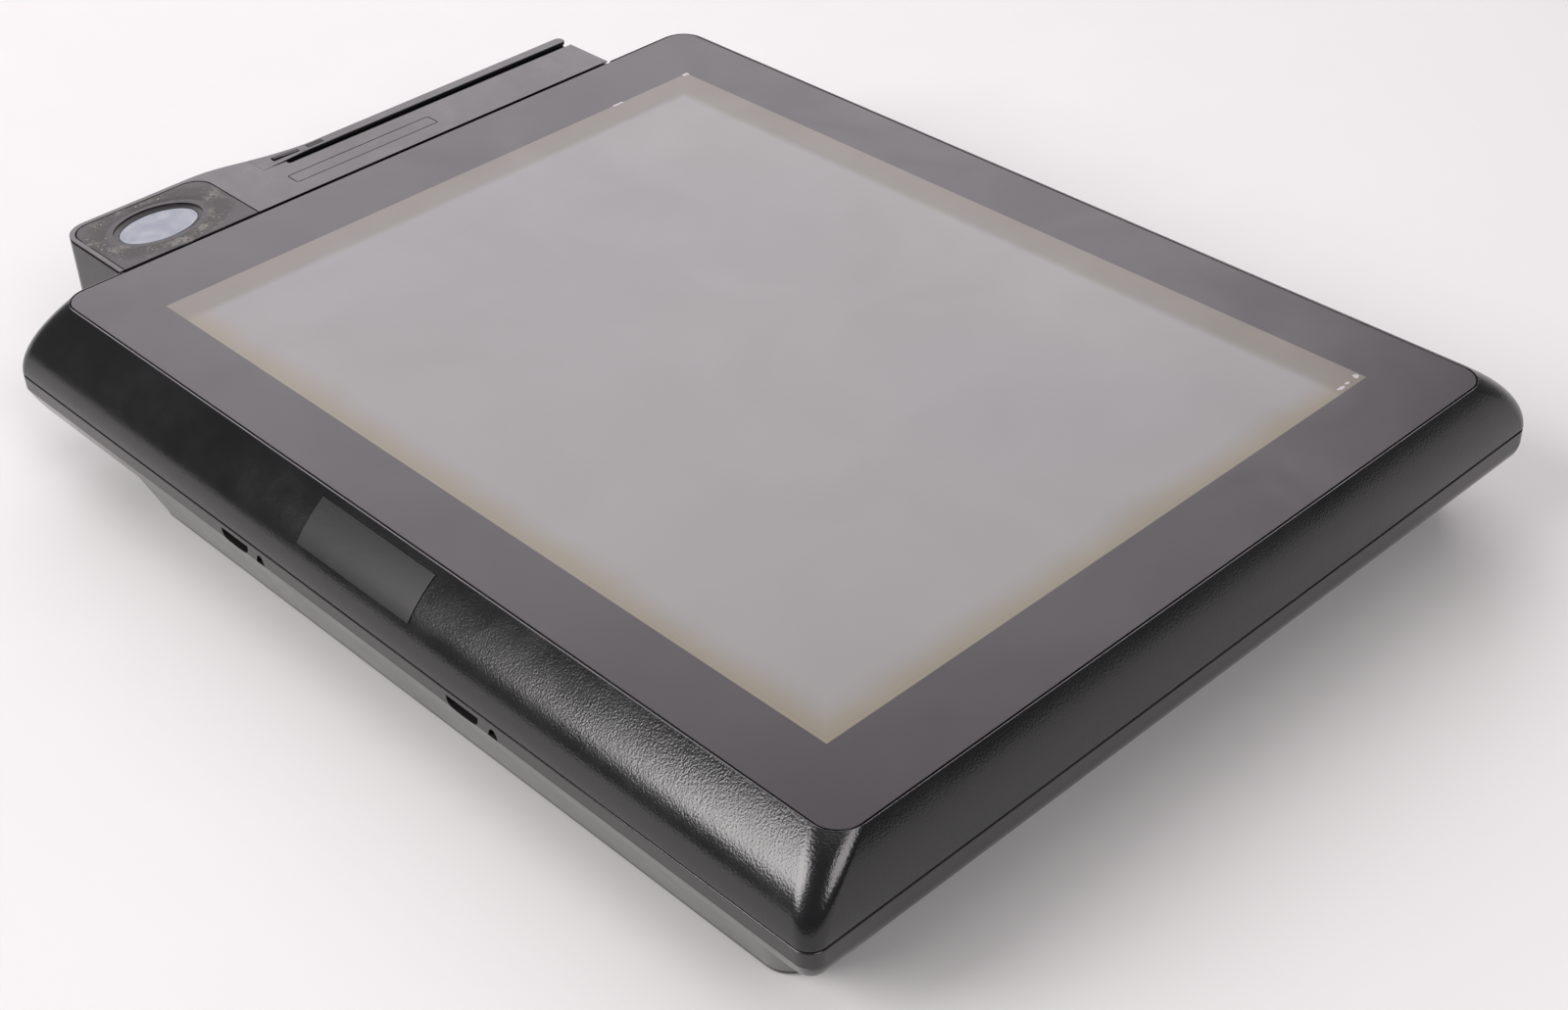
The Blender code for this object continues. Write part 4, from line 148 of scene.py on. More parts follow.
# Fasteners, and the levels at which solids that cut start and end, past everything that they cut
SCREW_HOLE = 1.9
BELOW = -3.0
ABOVE = 58.5
LID_CUT = (50.3, 58.3)

CORNER_STEPS = 16
EDGE_STEPS = 5


# Surfaces: outlines are arrays of points, and solids are rings of points joined one to the next

def to_frame(points):
    """Millimetres from the head's middle, turned to metres in the frame."""
    return (np.asarray(points, float) + (HEAD_MIDDLE, 0.0, 0.0)) * MM


def arc(x, y, radius, first, last, steps=CORNER_STEPS):
    """Points of a circle's arc: the centre plus the radius times the cosine and sine of the angle."""
    angle = np.radians(np.linspace(first, last, steps + 1))
    return np.stack([x + radius * np.cos(angle), y + radius * np.sin(angle)], 1)


def rounded(left, right, near, far, radius, steps=CORNER_STEPS):
    """A rectangle whose four corners are quarter circles, counterclockwise from the near right."""
    return np.concatenate([arc(right - radius, near + radius, radius, -90, 0, steps),
                           arc(right - radius, far - radius, radius, 0, 90, steps),
                           arc(left + radius, far - radius, radius, 90, 180, steps),
                           arc(left + radius, near + radius, radius, 180, 270, steps)])


def oval(middle, width, length, count=96):
    """An ellipse: half the width times the cosine, half the length times the sine."""
    angle = np.linspace(0, 2 * np.pi, count, endpoint=False)
    return np.stack([middle[0] + width / 2 * np.cos(angle), middle[1] + length / 2 * np.sin(angle)], 1)


def inward(outline, distance):
    """Every point moved in along the mean of its two edges' normals, so that both edges move by the distance.

    The mean is divided by half its squared length, which is the stretch that a mitred corner needs.
    """
    edges = np.roll(outline, -1, 0) - outline
    edges /= np.maximum(np.linalg.norm(edges, axis=1, keepdims=True), 1e-9)
    normals = np.stack([-edges[:, 1], edges[:, 0]], 1)
    area = np.sum(outline[:, 0] * np.roll(outline[:, 1], -1) - np.roll(outline[:, 0], -1) * outline[:, 1])
    mean = (normals + np.roll(normals, 1, 0)) * (1.0 if area > 0 else -1.0)
    return outline + mean * distance * 2 / np.maximum(np.sum(mean * mean, axis=1, keepdims=True), 0.4)


def ring(outline, level, axis="z"):
    """An outline set at one level along x, y or z."""
    flat = np.full(len(outline), float(level))
    order = {"x": (flat, outline[:, 0], outline[:, 1]), "y": (outline[:, 0], flat, outline[:, 1]),
             "z": (outline[:, 0], outline[:, 1], flat)}
    return np.stack(order[axis], 1)


def solid(name, rings, closed=False):
    """A body from rings with the same number of points.

    Point j of ring i joins point j + 1 and ring i + 1 in a four-sided face. An open stack of rings gets
    a lid at each end, and a closed one joins its last ring to its first.
    """
    points = np.asarray(rings, float)
    rows, count, _ = points.shape
    row = np.arange(rows if closed else rows - 1)[:, None]
    column = np.arange(count)[None, :]
    above = (row + 1) % rows
    beside = (column + 1) % count
    faces = np.stack([row * count + column, row * count + beside,
                      above * count + beside, above * count + column], -1).reshape(-1, 4).tolist()
    if not closed:
        faces.append(list(range(count)))
        faces.append(list(range((rows - 1) * count, rows * count)))
    mesh = bpy.data.meshes.new(name)
    mesh.from_pydata(to_frame(points.reshape(-1, 3)).tolist(), [], faces)
    work = bmesh.new()
    work.from_mesh(mesh)
    bmesh.ops.remove_doubles(work, verts=work.verts, dist=0.000002)
    bmesh.ops.recalc_face_normals(work, faces=work.faces)
    work.to_mesh(mesh)
    work.free()
    piece = bpy.data.objects.new(name, mesh)
    bpy.context.scene.collection.objects.link(piece)
    return piece


def prism(outline, low, high, axis="z"):
    """A straight bar of one outline, used to cut with."""
    return solid("cutter", [ring(outline, low, axis), ring(outline, high, axis)])


def block(low, high):
    """A box between two corners, used to cut with."""
    square = np.array([(low[0], low[1]), (high[0], low[1]), (high[0], high[1]), (low[0], high[1])])
    return prism(square, low[2], high[2])


def bore(x, y, radius, low, high, axis="z", steps=40):
    """A round bar, used to cut with."""
    return prism(oval((x, y), 2 * radius, 2 * radius, steps), low, high, axis)


def slab(name, outline, low, high, top=0.4, bottom=0.2, steps=EDGE_STEPS):
    """An outline raised between two levels, its top and bottom edges rounded by quarter circles.

    Along an edge of radius r, at the angle a, the inset is r times 1 - sin a below and r times 1 - cos a
    above, and the level rises by the matching cosine and sine.
    """
    lean = np.radians(np.linspace(0, 90, steps + 1))
    rings = [ring(inward(outline, bottom * (1 - math.sin(a))), low + bottom * (1 - math.cos(a))) for a in lean]
    rings += [ring(inward(outline, top * (1 - math.cos(a))), high - top * (1 - math.sin(a))) for a in lean]
    return solid(name, rings)


def turned(name, middle, profile, steps=64):
    """A profile of radius and level carried round an upright axis."""
    rings = [ring(oval(middle, 2 * radius, 2 * radius, steps), level) for radius, level in profile]
    return solid(name, rings)


def applied(piece):
    """The piece's mesh with its modifiers worked in."""
    made = piece.evaluated_get(bpy.context.evaluated_depsgraph_get())
    mesh = bpy.data.meshes.new_from_object(made)
    piece.modifiers.clear()
    old = piece.data
    piece.data = mesh
    mesh.name = piece.name
    bpy.data.meshes.remove(old)


def carve(piece, cutters, operation="DIFFERENCE"):
    """Cuts solids that don't touch each other out of a piece, all at once, or joins them to it."""
    tool = cutters[0]
    if len(cutters) > 1:
        work = bmesh.new()
        for cutter in cutters:
            work.from_mesh(cutter.data)
        work.to_mesh(tool.data)
        work.free()
    change = piece.modifiers.new("carve", "BOOLEAN")
    change.operation = operation
    change.solver = "EXACT"
    change.object = tool
    applied(piece)
    for cutter in cutters:
        bpy.data.objects.remove(cutter)


def soften(piece, width, segments=2, angle=40):
    """Small rounds along the sharp edges."""
    bevel = piece.modifiers.new("soften", "BEVEL")
    bevel.width = width * MM
    bevel.segments = segments
    bevel.limit_method = "ANGLE"
    bevel.angle_limit = math.radians(angle)
    bevel.miter_outer = "MITER_ARC"
    applied(piece)


def softened(node, width, segments=2):
    """A copy of a CAD piece, its doubles merged and its flat faces joined, with small rounds on its edges."""
    mesh = NODES[node].data.copy()
    work = bmesh.new()
    work.from_mesh(mesh)
    bmesh.ops.remove_doubles(work, verts=work.verts, dist=0.000005)
    bmesh.ops.dissolve_limit(work, angle_limit=math.radians(1), verts=work.verts, edges=work.edges)
    work.to_mesh(mesh)
    work.free()
    mesh.materials.clear()
    piece = bpy.data.objects.new(node + "_finish", mesh)
    bpy.context.scene.collection.objects.link(piece)
    soften(piece, width, segments, 30)
    return piece


def dress(piece, finish, slot, *nodes, body="head", angle=32):
    """Gives a piece its finish, smooth shading with crisp edges, and its place among the bodies."""
    mesh = piece.data
    mesh.materials.clear()
    mesh.materials.append(finish)
    mesh.polygons.foreach_set("use_smooth", [True] * len(mesh.polygons))
    mesh.set_sharp_from_angle(angle=math.radians(angle))
    weights = piece.modifiers.new("face_weights", "WEIGHTED_NORMAL")
    weights.keep_sharp = True
    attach(piece, body)
    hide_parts(*nodes)
    return piece


# Materials

def linear(code):
    """An sRGB hex colour as linear red, green, blue and 1."""
    parts = [int(code[place:place + 2], 16) / 255 for place in (1, 3, 5)]
    return tuple(((p + 0.055) / 1.055) ** 2.4 if p > 0.04045 else p / 12.92 for p in parts) + (1.0,)


def add_node(tree, kind, settings=None, sockets=None):
    """One node: its settings are set, and each socket takes a value or the output that feeds it."""
    made = tree.nodes.new(kind)
    for key, value in (settings or {}).items():
        setattr(made, key, value)
    for key, value in (sockets or {}).items():
        if isinstance(value, bpy.types.NodeSocket):
            tree.links.new(value, made.inputs[key])
        else:
            made.inputs[key].default_value = value
    return made


def start_material(name):
    """A material with its shader and output, and Object coordinates in millimetres from the head's middle."""
    material = bpy.data.materials.new(name)
    material.use_nodes = True
    tree = material.node_tree
    tree.nodes.clear()
    shader = add_node(tree, "ShaderNodeBsdfPrincipled")
    add_node(tree, "ShaderNodeOutputMaterial", sockets={"Surface": shader.outputs["BSDF"]})
    place = add_node(tree, "ShaderNodeTexCoord")
    scale = 1 / MM
    place = add_node(tree, "ShaderNodeMapping", sockets={
        "Vector": place.outputs["Object"], "Location": (-HEAD_MIDDLE, 0.0, 0.0), "Scale": (scale, scale, scale)})
    return material, tree, shader, place.outputs["Vector"]


def noise(tree, place, period, detail=2.0, rough=0.5, distortion=0.0):
    """Cloudy values from 0 to 1 whose features are a period of millimetres across."""
    made = add_node(tree, "ShaderNodeTexNoise", sockets={
        "Vector": place, "Scale": 1 / period, "Detail": detail, "Roughness": rough, "Distortion": distortion})
    return made.outputs["Fac"]


def span(tree, value, low, high, to_low=0.0, to_high=1.0, smooth=True):
    """A value between two bounds, carried over to two others."""
    made = add_node(tree, "ShaderNodeMapRange", {"interpolation_type": "SMOOTHSTEP" if smooth else "LINEAR"}, {
        "Value": value, "From Min": low, "From Max": high, "To Min": to_low, "To Max": to_high})
    return made.outputs["Result"]


def maths(tree, operation, first, second=0.0):
    """One sum of two values."""
    made = add_node(tree, "ShaderNodeMath", {"operation": operation}, {0: first, 1: second})
    return made.outputs["Value"]


def blended(tree, share, first, second):
    """Two colours blended by a share."""
    made = add_node(tree, "ShaderNodeMix", {"data_type": "RGBA"}, {0: share, 6: first, 7: second})
    return made.outputs[2]


def relief(tree, shader, height, depth, strength=1.0):
    """Raises the surface by a depth in millimetres where the height is 1."""
    made = add_node(tree, "ShaderNodeBump", sockets={
        "Strength": strength, "Distance": depth * MM, "Height": height})
    tree.links.new(made.outputs["Normal"], shader.inputs["Normal"])


def moulded_abs(name, colour, worn, rough, grain, depth, dust=0.03):
    """Injection-moulded ABS with an etched grain: a satin sheen that breaks up over the grain.

    Grain and depth are the etching's period and height in millimetres. Handling leaves smoother and
    rougher areas a few centimetres across, and dust settles as pale specks.
    """
    material, tree, shader, place = start_material(name)
    shader.inputs["IOR"].default_value = 1.56
    handled = noise(tree, place, 38.0, 3.0, 0.6)
    fine = noise(tree, place, 6.0, 3.0, 0.65)
    colour = blended(tree, span(tree, handled, 0.35, 0.75), linear(colour), linear(worn))
    flecks = add_node(tree, "ShaderNodeTexVoronoi", sockets={"Vector": place, "Scale": 1 / 13.0})
    lint = span(tree, flecks.outputs["Distance"], 0.018, 0.008)
    lint = maths(tree, "MULTIPLY", lint, span(tree, fine, 0.5, 0.56, 0.0, dust * 10))
    tree.links.new(blended(tree, lint, colour, linear("#A9A7A4")), shader.inputs["Base Color"])
    sheen = maths(tree, "ADD", span(tree, handled, 0.3, 0.7, rough - 0.04, rough + 0.04, False),
                  span(tree, fine, 0.3, 0.7, -0.02, 0.02, False))
    tree.links.new(sheen, shader.inputs["Roughness"])
    relief(tree, shader, noise(tree, place, grain, 1.0, 0.5), depth)
    return material


def printed_glass():
    """Anti-glare cover glass over a grey switched-off panel, with a black print round the lit area.

    The panel lies below the glass, and the shade along its recessed edge is painted: a darker band
    of painted shade along the two far sides, and a warmer, darker band of painted shade along all four,
    stronger on the two near sides. The lit area sits 1.4 mm right of and 1.2 mm before the glass's
    """
    material, tree, shader, place = start_material("anti_glare_glass_over_panel")
    shader.inputs["IOR"].default_value = 1.52
    parts = add_node(tree, "ShaderNodeSeparateXYZ", sockets={"Vector": place})
    x = maths(tree, "SUBTRACT", parts.outputs["X"], SCREEN_MIDDLE[0])
    y = maths(tree, "SUBTRACT", parts.outputs["Y"], SCREEN_MIDDLE[1])
    side_x = maths(tree, "SUBTRACT", maths(tree, "ABSOLUTE", x), SCREEN_X)
    side_y = maths(tree, "SUBTRACT", maths(tree, "ABSOLUTE", y), SCREEN_Y)
    edge = maths(tree, "MAXIMUM", side_x, side_y)
    cloud = noise(tree, place, 30.0, 2.0, 0.5)
    panel = blended(tree, span(tree, noise(tree, place, 160.0, 1.0), 0.3, 0.7), linear("#787778"),
                    linear("#7E7D7C"))
    # Painted shade: a warmer, darker band along all four edges of the lit area, stronger on the two near sides,
    # stands in for the shade of the panel's recessed edge
    painted_edge_shade = span(tree, maths(tree, "ADD", edge, maths(tree, "MULTIPLY", cloud, 10.0)), -9.0, 4.0)
    near = maths(tree, "MAXIMUM", span(tree, x, SCREEN_X - 12.0, SCREEN_X),
                 span(tree, y, 12.0 - SCREEN_Y, -SCREEN_Y))
    share = maths(tree, "MULTIPLY", painted_edge_shade, maths(tree, "ADD", maths(tree, "MULTIPLY", near, 0.35), 0.45))
    panel = blended(tree, share, panel, linear("#726850"))
    # Painted shade: a darker band along the two far sides, where the recessed panel lies in shade under the edge
    # of the print
    far_x = span(tree, x, 15.0 - SCREEN_X, 10.0 - SCREEN_X)
    far_y = span(tree, y, SCREEN_Y - 15.0, SCREEN_Y - 10.0)
    painted_far_shade = maths(tree, "MAXIMUM", far_x, far_y)
    panel = blended(tree, maths(tree, "MULTIPLY", painted_far_shade, 0.75), panel, linear("#5D584E"))
    line = span(tree, maths(tree, "ABSOLUTE", maths(tree, "ADD", edge, 1.5)), 0.35, 0.0)
    panel = blended(tree, maths(tree, "MULTIPLY", line, 0.16), panel, linear("#4A4640"))
    border = blended(tree, cloud, linear("#171016"), linear("#1B141A"))
    colour = blended(tree, span(tree, edge, -0.25, 0.05, smooth=False), panel, border)
    chips = (((-SCREEN_X + 1.0, 78.4), 2.7, 1.0), ((-SCREEN_X + 1.4, 112.2), 2.0, 1.5),
             ((SCREEN_X - 1.2, 110.6), 1.1, 0.9), ((SCREEN_X - 0.6, 102.4), 1.8, 0.6),
             ((SCREEN_X - 0.8, 105.8), 0.9, 0.5))
    for spot, length, width in chips:
        chip = add_node(tree, "ShaderNodeMapping", sockets={
            "Vector": place, "Location": (-spot[0] / width, -spot[1] / length, 0.0),
            "Scale": (1 / width, 1 / length, 0.0)})
        away = add_node(tree, "ShaderNodeVectorMath", {"operation": "LENGTH"}, {0: chip.outputs["Vector"]})
        ragged = span(tree, noise(tree, place, 0.9), 0.3, 0.7, -0.3, 0.3)
        away = maths(tree, "ADD", away.outputs["Value"], ragged)
        inside = maths(tree, "LESS_THAN", edge, 0.35)
        colour = blended(tree, maths(tree, "MULTIPLY", span(tree, away, 1.05, 0.85), inside), colour,
                         linear("#A7A5A6"))
    dots = add_node(tree, "ShaderNodeTexVoronoi", sockets={"Vector": place, "Scale": 1 / 24.0})
    dots = maths(tree, "MULTIPLY", span(tree, dots.outputs["Distance"], 0.022, 0.012),
                 span(tree, noise(tree, place, 40.0), 0.52, 0.56))
    colour = blended(tree, dots, colour, linear("#C9C8C4"))
    tree.links.new(colour, shader.inputs["Base Color"])
    smear = noise(tree, place, 45.0, 4.0, 0.6, 0.8)
    tree.links.new(span(tree, smear, 0.3, 0.7, 0.30, 0.36, False), shader.inputs["Roughness"])
    relief(tree, shader, noise(tree, place, 0.35, 1.0), 0.004, 0.5)
    return material


def plated_steel(name, colour, rough):
    """Zinc-plated steel sheet: bright grey with a faint patchwork of crystals, 4 mm across."""
    material, tree, shader, place = start_material(name)
    shader.inputs["Metallic"].default_value = 1.0
    crystals = add_node(tree, "ShaderNodeTexVoronoi", sockets={"Vector": place, "Scale": 1 / 4.0})
    tone = add_node(tree, "ShaderNodeSeparateColor", sockets={"Color": crystals.outputs["Color"]})
    dull = noise(tree, place, 18.0, 3.0)
    shade = blended(tree, span(tree, tone.outputs[0], 0.0, 1.0, 0.0, 0.5), linear(colour), linear("#7D7F82"))
    tree.links.new(blended(tree, span(tree, dull, 0.5, 0.8, 0.0, 0.4), shade, linear("#6B6A68")),
                   shader.inputs["Base Color"])
    tree.links.new(span(tree, tone.outputs[1], 0.0, 1.0, rough - 0.06, rough + 0.08, False),
                   shader.inputs["Roughness"])
    relief(tree, shader, noise(tree, place, 1.4, 3.0, 0.6), 0.006)
    return material


def plain_metal(name, colour, rough, stretch=(1.0, 12.0, 12.0), depth=0.005):
    """Metal with a drawn or cast surface: long fine streaks, and duller patches from handling."""
    material, tree, shader, place = start_material(name)
    shader.inputs["Metallic"].default_value = 1.0
    drawn = add_node(tree, "ShaderNodeMapping", sockets={"Vector": place, "Scale": stretch})
    streaks = noise(tree, drawn.outputs["Vector"], 4.0, 4.0, 0.6)
    patches = noise(tree, place, 9.0, 3.0)
    dark = tuple(part * 0.72 for part in linear(colour)[:3]) + (1.0,)
    tree.links.new(blended(tree, span(tree, patches, 0.35, 0.7), linear(colour), dark),
                   shader.inputs["Base Color"])
    tree.links.new(span(tree, streaks, 0.3, 0.7, rough - 0.07, rough + 0.09, False), shader.inputs["Roughness"])
    relief(tree, shader, streaks, depth)
    return material


def circuit_board():
    """Fibreglass board under a green solder mask: copper tracks show lighter, and pads are bare."""
    material, tree, shader, place = start_material("green_solder_mask_board")
    shader.inputs["IOR"].default_value = 1.5
    cells = add_node(tree, "ShaderNodeTexVoronoi", {"distance": "MANHATTAN", "feature": "F2"}, {
        "Vector": place, "Scale": 1 / 5.0, "Randomness": 0.8})
    tracks = maths(tree, "PINGPONG", cells.outputs["Distance"], 0.11)
    tracks = span(tree, tracks, 0.045, 0.065)
    mask = blended(tree, tracks, linear("#0F3B26"), linear("#1D5A3A"))
    pads = add_node(tree, "ShaderNodeTexVoronoi", sockets={
        "Vector": place, "Scale": 1 / 2.6, "Randomness": 0.35})
    pads = maths(tree, "MULTIPLY", span(tree, pads.outputs["Distance"], 0.2, 0.16),
                 span(tree, noise(tree, place, 14.0), 0.52, 0.56))
    tree.links.new(blended(tree, pads, mask, linear("#B9B4A2")), shader.inputs["Base Color"])
    tree.links.new(span(tree, pads, 0.0, 1.0, 0.42, 0.28), shader.inputs["Roughness"])
    relief(tree, shader, maths(tree, "ADD", tracks, pads), 0.03)
    return material


def dull_plastic(name, colour, other, rough, period=1.6, depth=0.01, index=1.55):
    """A filled moulding, foam or sheet: an even matt face with a fine mottle."""
    material, tree, shader, place = start_material(name)
    shader.inputs["IOR"].default_value = index
    mottle = noise(tree, place, period, 4.0, 0.65)
    broad = noise(tree, place, 25.0, 2.0)
    tree.links.new(blended(tree, span(tree, broad, 0.3, 0.75), linear(colour), linear(other)),
                   shader.inputs["Base Color"])
    tree.links.new(span(tree, mottle, 0.25, 0.75, rough - 0.06, rough + 0.06, False), shader.inputs["Roughness"])
    relief(tree, shader, mottle, depth)
    return material


def scanner_glass():
    """Milky blue-grey sensor glass: glossy, cloudier towards one end, with wipe marks."""
    material, tree, shader, place = start_material("milky_sensor_glass")
    shader.inputs["IOR"].default_value = 1.52
    cloud = noise(tree, place, 9.0, 2.0, 0.5, 0.4)
    tree.links.new(blended(tree, span(tree, cloud, 0.35, 0.7), linear("#556072"), linear("#777D88")),
                   shader.inputs["Base Color"])
    tree.links.new(span(tree, noise(tree, place, 3.0, 4.0), 0.3, 0.7, 0.10, 0.2, False),
                   shader.inputs["Roughness"])
    relief(tree, shader, cloud, 0.01)
    return material


def grimy_scanner_plate():
    """The scanner's ABS plate: satin inside the dish, with a rough ring of old dirt round its lip."""
    material, tree, shader, place = start_material("abs_with_dirt_ring")
    shader.inputs["IOR"].default_value = 1.53
    ovalness = add_node(tree, "ShaderNodeMapping", sockets={
        "Vector": place, "Location": (-WINDOW[0] / (DISH_WIDTH / 2), -WINDOW[1] / (DISH_LENGTH / 2), 0.0),
        "Scale": (2 / DISH_WIDTH, 2 / DISH_LENGTH, 0.0)})
    away = add_node(tree, "ShaderNodeVectorMath", {"operation": "LENGTH"}, {0: ovalness.outputs["Vector"]})
    away = maths(tree, "ADD", away.outputs["Value"],
                 span(tree, noise(tree, place, 7.0, 2.0), 0.2, 0.8, -0.16, 0.16, False))
    lip = maths(tree, "MULTIPLY", span(tree, away, 0.8, 0.98), span(tree, away, 1.42, 1.12))
    crumbs = noise(tree, place, 1.5, 4.0, 0.75)
    clumps = noise(tree, place, 9.0, 2.0)
    crust = maths(tree, "MULTIPLY", lip, span(tree, maths(tree, "ADD", crumbs, clumps), 0.95, 1.2))
    base = blended(tree, noise(tree, place, 22.0, 2.0), linear("#1A181A"), linear("#201E20"))
    base = blended(tree, maths(tree, "MULTIPLY", lip, 0.6), base, linear("#383735"))
    base = blended(tree, maths(tree, "MULTIPLY", crust, 0.75), base, linear("#7A7773"))
    specks = add_node(tree, "ShaderNodeTexVoronoi", sockets={"Vector": place, "Scale": 1 / 1.5})
    specks = maths(tree, "MULTIPLY", span(tree, specks.outputs["Distance"], 0.26, 0.16),
                   span(tree, noise(tree, place, 3.4, 2.0), 0.54, 0.6))
    tree.links.new(blended(tree, maths(tree, "MULTIPLY", specks, lip), base, linear("#A59C8C")),
                   shader.inputs["Base Color"])
    tree.links.new(span(tree, lip, 0.0, 1.0, 0.42, 0.55, False), shader.inputs["Roughness"])
    relief(tree, shader, maths(tree, "ADD", maths(tree, "MULTIPLY", crust, 1.6),
                               noise(tree, place, 0.5, 2.0)), 0.05)
    return material


def white_table():
    """A white laminate table top: near-white and matt, with a very faint mottle."""
    material, tree, shader, place = start_material("white_laminate_table")
    mottle = noise(tree, place, 240.0, 3.0)
    tree.links.new(blended(tree, mottle, linear("#DAD9D9"), linear("#DFDEDE")), shader.inputs["Base Color"])
    tree.links.new(span(tree, noise(tree, place, 30.0, 3.0), 0.3, 0.7, 0.55, 0.65, False),
                   shader.inputs["Roughness"])
    relief(tree, shader, noise(tree, place, 2.0, 2.0), 0.01, 0.3)
    return material


BEZEL_ABS = moulded_abs("satin_black_abs", "#0E0E10", "#121214", 0.2, 0.64, 0.048)
# The cover's black is mixed lighter than the bezel's; part of that lightness is real, and part is a painted
# reflection of the white table on the housing's lower side
COVER_ABS = moulded_abs("etched_black_abs", "#242222", "#2A2828", 0.17, 0.8, 0.015)
MODULE_ABS = moulded_abs("fine_black_abs", "#1A181A", "#1F1D1F", 0.3, 0.8, 0.02, 0.0)
PLATE_BLACK = dull_plastic("anodised_black_plate", "#151516", "#1A1A1B", 0.34, 0.5, 0.008)
GLASS = printed_glass()
SENSOR_GLASS = scanner_glass()
DIRTY_PLATE = grimy_scanner_plate()
STEEL = plated_steel("zinc_plated_steel", "#B5B7BA", 0.36)
SCREW_METAL = plain_metal("zinc_plated_screw", "#C3C3BE", 0.3)
CAST = plain_metal("cast_aluminium", "#A8AAAC", 0.42, (1.0, 1.0, 1.0), depth=0.02)
BOARD = circuit_board()
SOCKET_BLACK = dull_plastic("black_filled_moulding", "#1A1A1B", "#212122", 0.5)
BATTERY = plain_metal("stainless_battery_shell", "#C8C9CA", 0.22, (6.0, 6.0, 1.0))
PANEL_GREY = dull_plastic("grey_panel_cell", "#6F6F70", "#767677", 0.35, 0.4, 0.002)
LIGHT_SHEET = dull_plastic("white_light_guide_sheet", "#D9DAD8", "#E3E3E0", 0.4, 0.6, 0.004, 1.49)
FOAM = dull_plastic("black_foam_tape", "#1B1B1C", "#252525", 0.85, 0.35, 0.05, 1.45)
SMOKED = dull_plastic("smoked_window", "#0F0D0E", "#141112", 0.3, 3.0, 0.003, 1.25)
BRASS = plain_metal("spring_brass", "#C2A35C", 0.3, (10.0, 1.0, 10.0))
JACKET = dull_plastic("grey_pvc_jacket", "#3A3A3C", "#444446", 0.45, 2.0, 0.01, 1.53)


# Head: cover glass and front bezel

def slope_ring(share, wall=0.0):
    """One ring of the bezel's slope, from the parting line at share 0 to the rim at share 1.

    A parabola: the level rises evenly with the share, and the sides move in by the slope times the
    share squared, so the slope is upright at its foot and meets the flat rim in a crisp edge.
    """
    x = HEAD_X - SLOPE_X * share ** 2 - wall
    y = HEAD_Y - SLOPE_Y * share ** 2 - wall
    level = PARTING + (HEAD_TOP - PARTING) * share
    corner = HEAD_CORNER + (RIM_CORNER - HEAD_CORNER) * share
    return ring(rounded(-x, x, -y, y, max(corner - wall, BEZEL_WALL)), level)


def build_glass():
    """Cover glass: a rounded sheet with a ground edge, flush with the rim."""
    outline = rounded(-GLASS_X, GLASS_X, -GLASS_Y, GLASS_Y, GLASS_CORNER)
    dress(slab("cover_glass", outline, GLASS_LOW, HEAD_TOP, 0.15, 0.1), GLASS, "touch_glass", "touch_glass")


def build_bezel():
    """Front bezel: the slope in 33 rings, a softened foot and rim, the glass seat, ledge and inner wall."""
    foot = 0.4
    rings = []
    for angle in np.radians(np.linspace(0, 90, EDGE_STEPS + 1)):
        outline = slope_ring(0.0)[:, :2]
        rings.append(ring(inward(outline, foot * (1 - math.sin(angle))), PARTING + foot * (1 - math.cos(angle))))
    rings += [slope_ring(share) for share in np.linspace(0.04, 1.0, 33)]
    seat_x = GLASS_X + GLASS_GAP
    seat_y = GLASS_Y + GLASS_GAP
    seat = rounded(-seat_x, seat_x, -seat_y, seat_y, GLASS_CORNER + GLASS_GAP)
    edge = 0.18
    for angle in np.radians(np.linspace(0, 90, EDGE_STEPS + 1)):
        rings.append(ring(inward(seat, -edge * (1 - math.sin(angle))), HEAD_TOP - edge * (1 - math.cos(angle))))
    window = rounded(-LEDGE_X, LEDGE_X, -LEDGE_Y, LEDGE_Y, 2.0)
    rings += [ring(seat, LEDGE_TOP), ring(window, LEDGE_TOP), ring(window, LEDGE_LOW)]
    top_share = (LEDGE_LOW - PARTING) / (HEAD_TOP - PARTING)
    rings += [slope_ring(share, BEZEL_WALL) for share in np.linspace(top_share, 0.0, 12)]
    bezel = solid("bezel_shell", rings, closed=True)
    carve(bezel, [block((-HEAD_X - 3, MODULE_NEAR - 0.5, LID_LOW - 0.3),
                        (-GLASS_X - 0.3, MODULE_FAR + 0.5, ABOVE))])
    through = (-189.0, -180.5, "x")
    carve(bezel, [bore(y, MODULE_SCREWS_Z, SCREW_HOLE, *through) for y in MODULE_SCREWS_Y]
          + [bore(*CABLE_HOLE, CABLE_HOLE_RADIUS, *through)])
    middles = [(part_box(name)[0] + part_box(name)[1]) / 2 for name in NODES if name.startswith("chassis_screw")]
    carve(bezel, [bore(middle.x / MM - HEAD_MIDDLE, middle.y / MM, SCREW_HOLE, 47.3, 51.8)
                  for middle in middles])
    dress(bezel, BEZEL_ABS, "black_abs", "front_bezel", angle=24)


def build_label_plate():
    """Bare plate: a strip of the slope from share 0.45 to 0.93, raised by 0.05 to 0.35 mm along its normal."""
    share = np.linspace(*LABEL_SHARES, 25)
    y = -(HEAD_Y - SLOPE_Y * share ** 2)
    z = PARTING + (HEAD_TOP - PARTING) * share
    along = np.stack([np.gradient(y), np.gradient(z)], 1)
    along /= np.linalg.norm(along, axis=1, keepdims=True)
    out = np.stack([-along[:, 1], along[:, 0]], 1)
    left, right = LABEL_X
    rings = []
    for place in range(len(share)):
        low = np.array([y[place], z[place]]) + out[place] * 0.05
        high = np.array([y[place], z[place]]) + out[place] * 0.35
        rings.append([(left, *low), (right, *low), (right, *high), (left, *high)])
    plate = solid("bare_plate", rings)
    soften(plate, 0.12, 3)
    dress(plate, PLATE_BLACK, "plate_black", "label_plate")


# Rear cover: band, flat back and deep housing

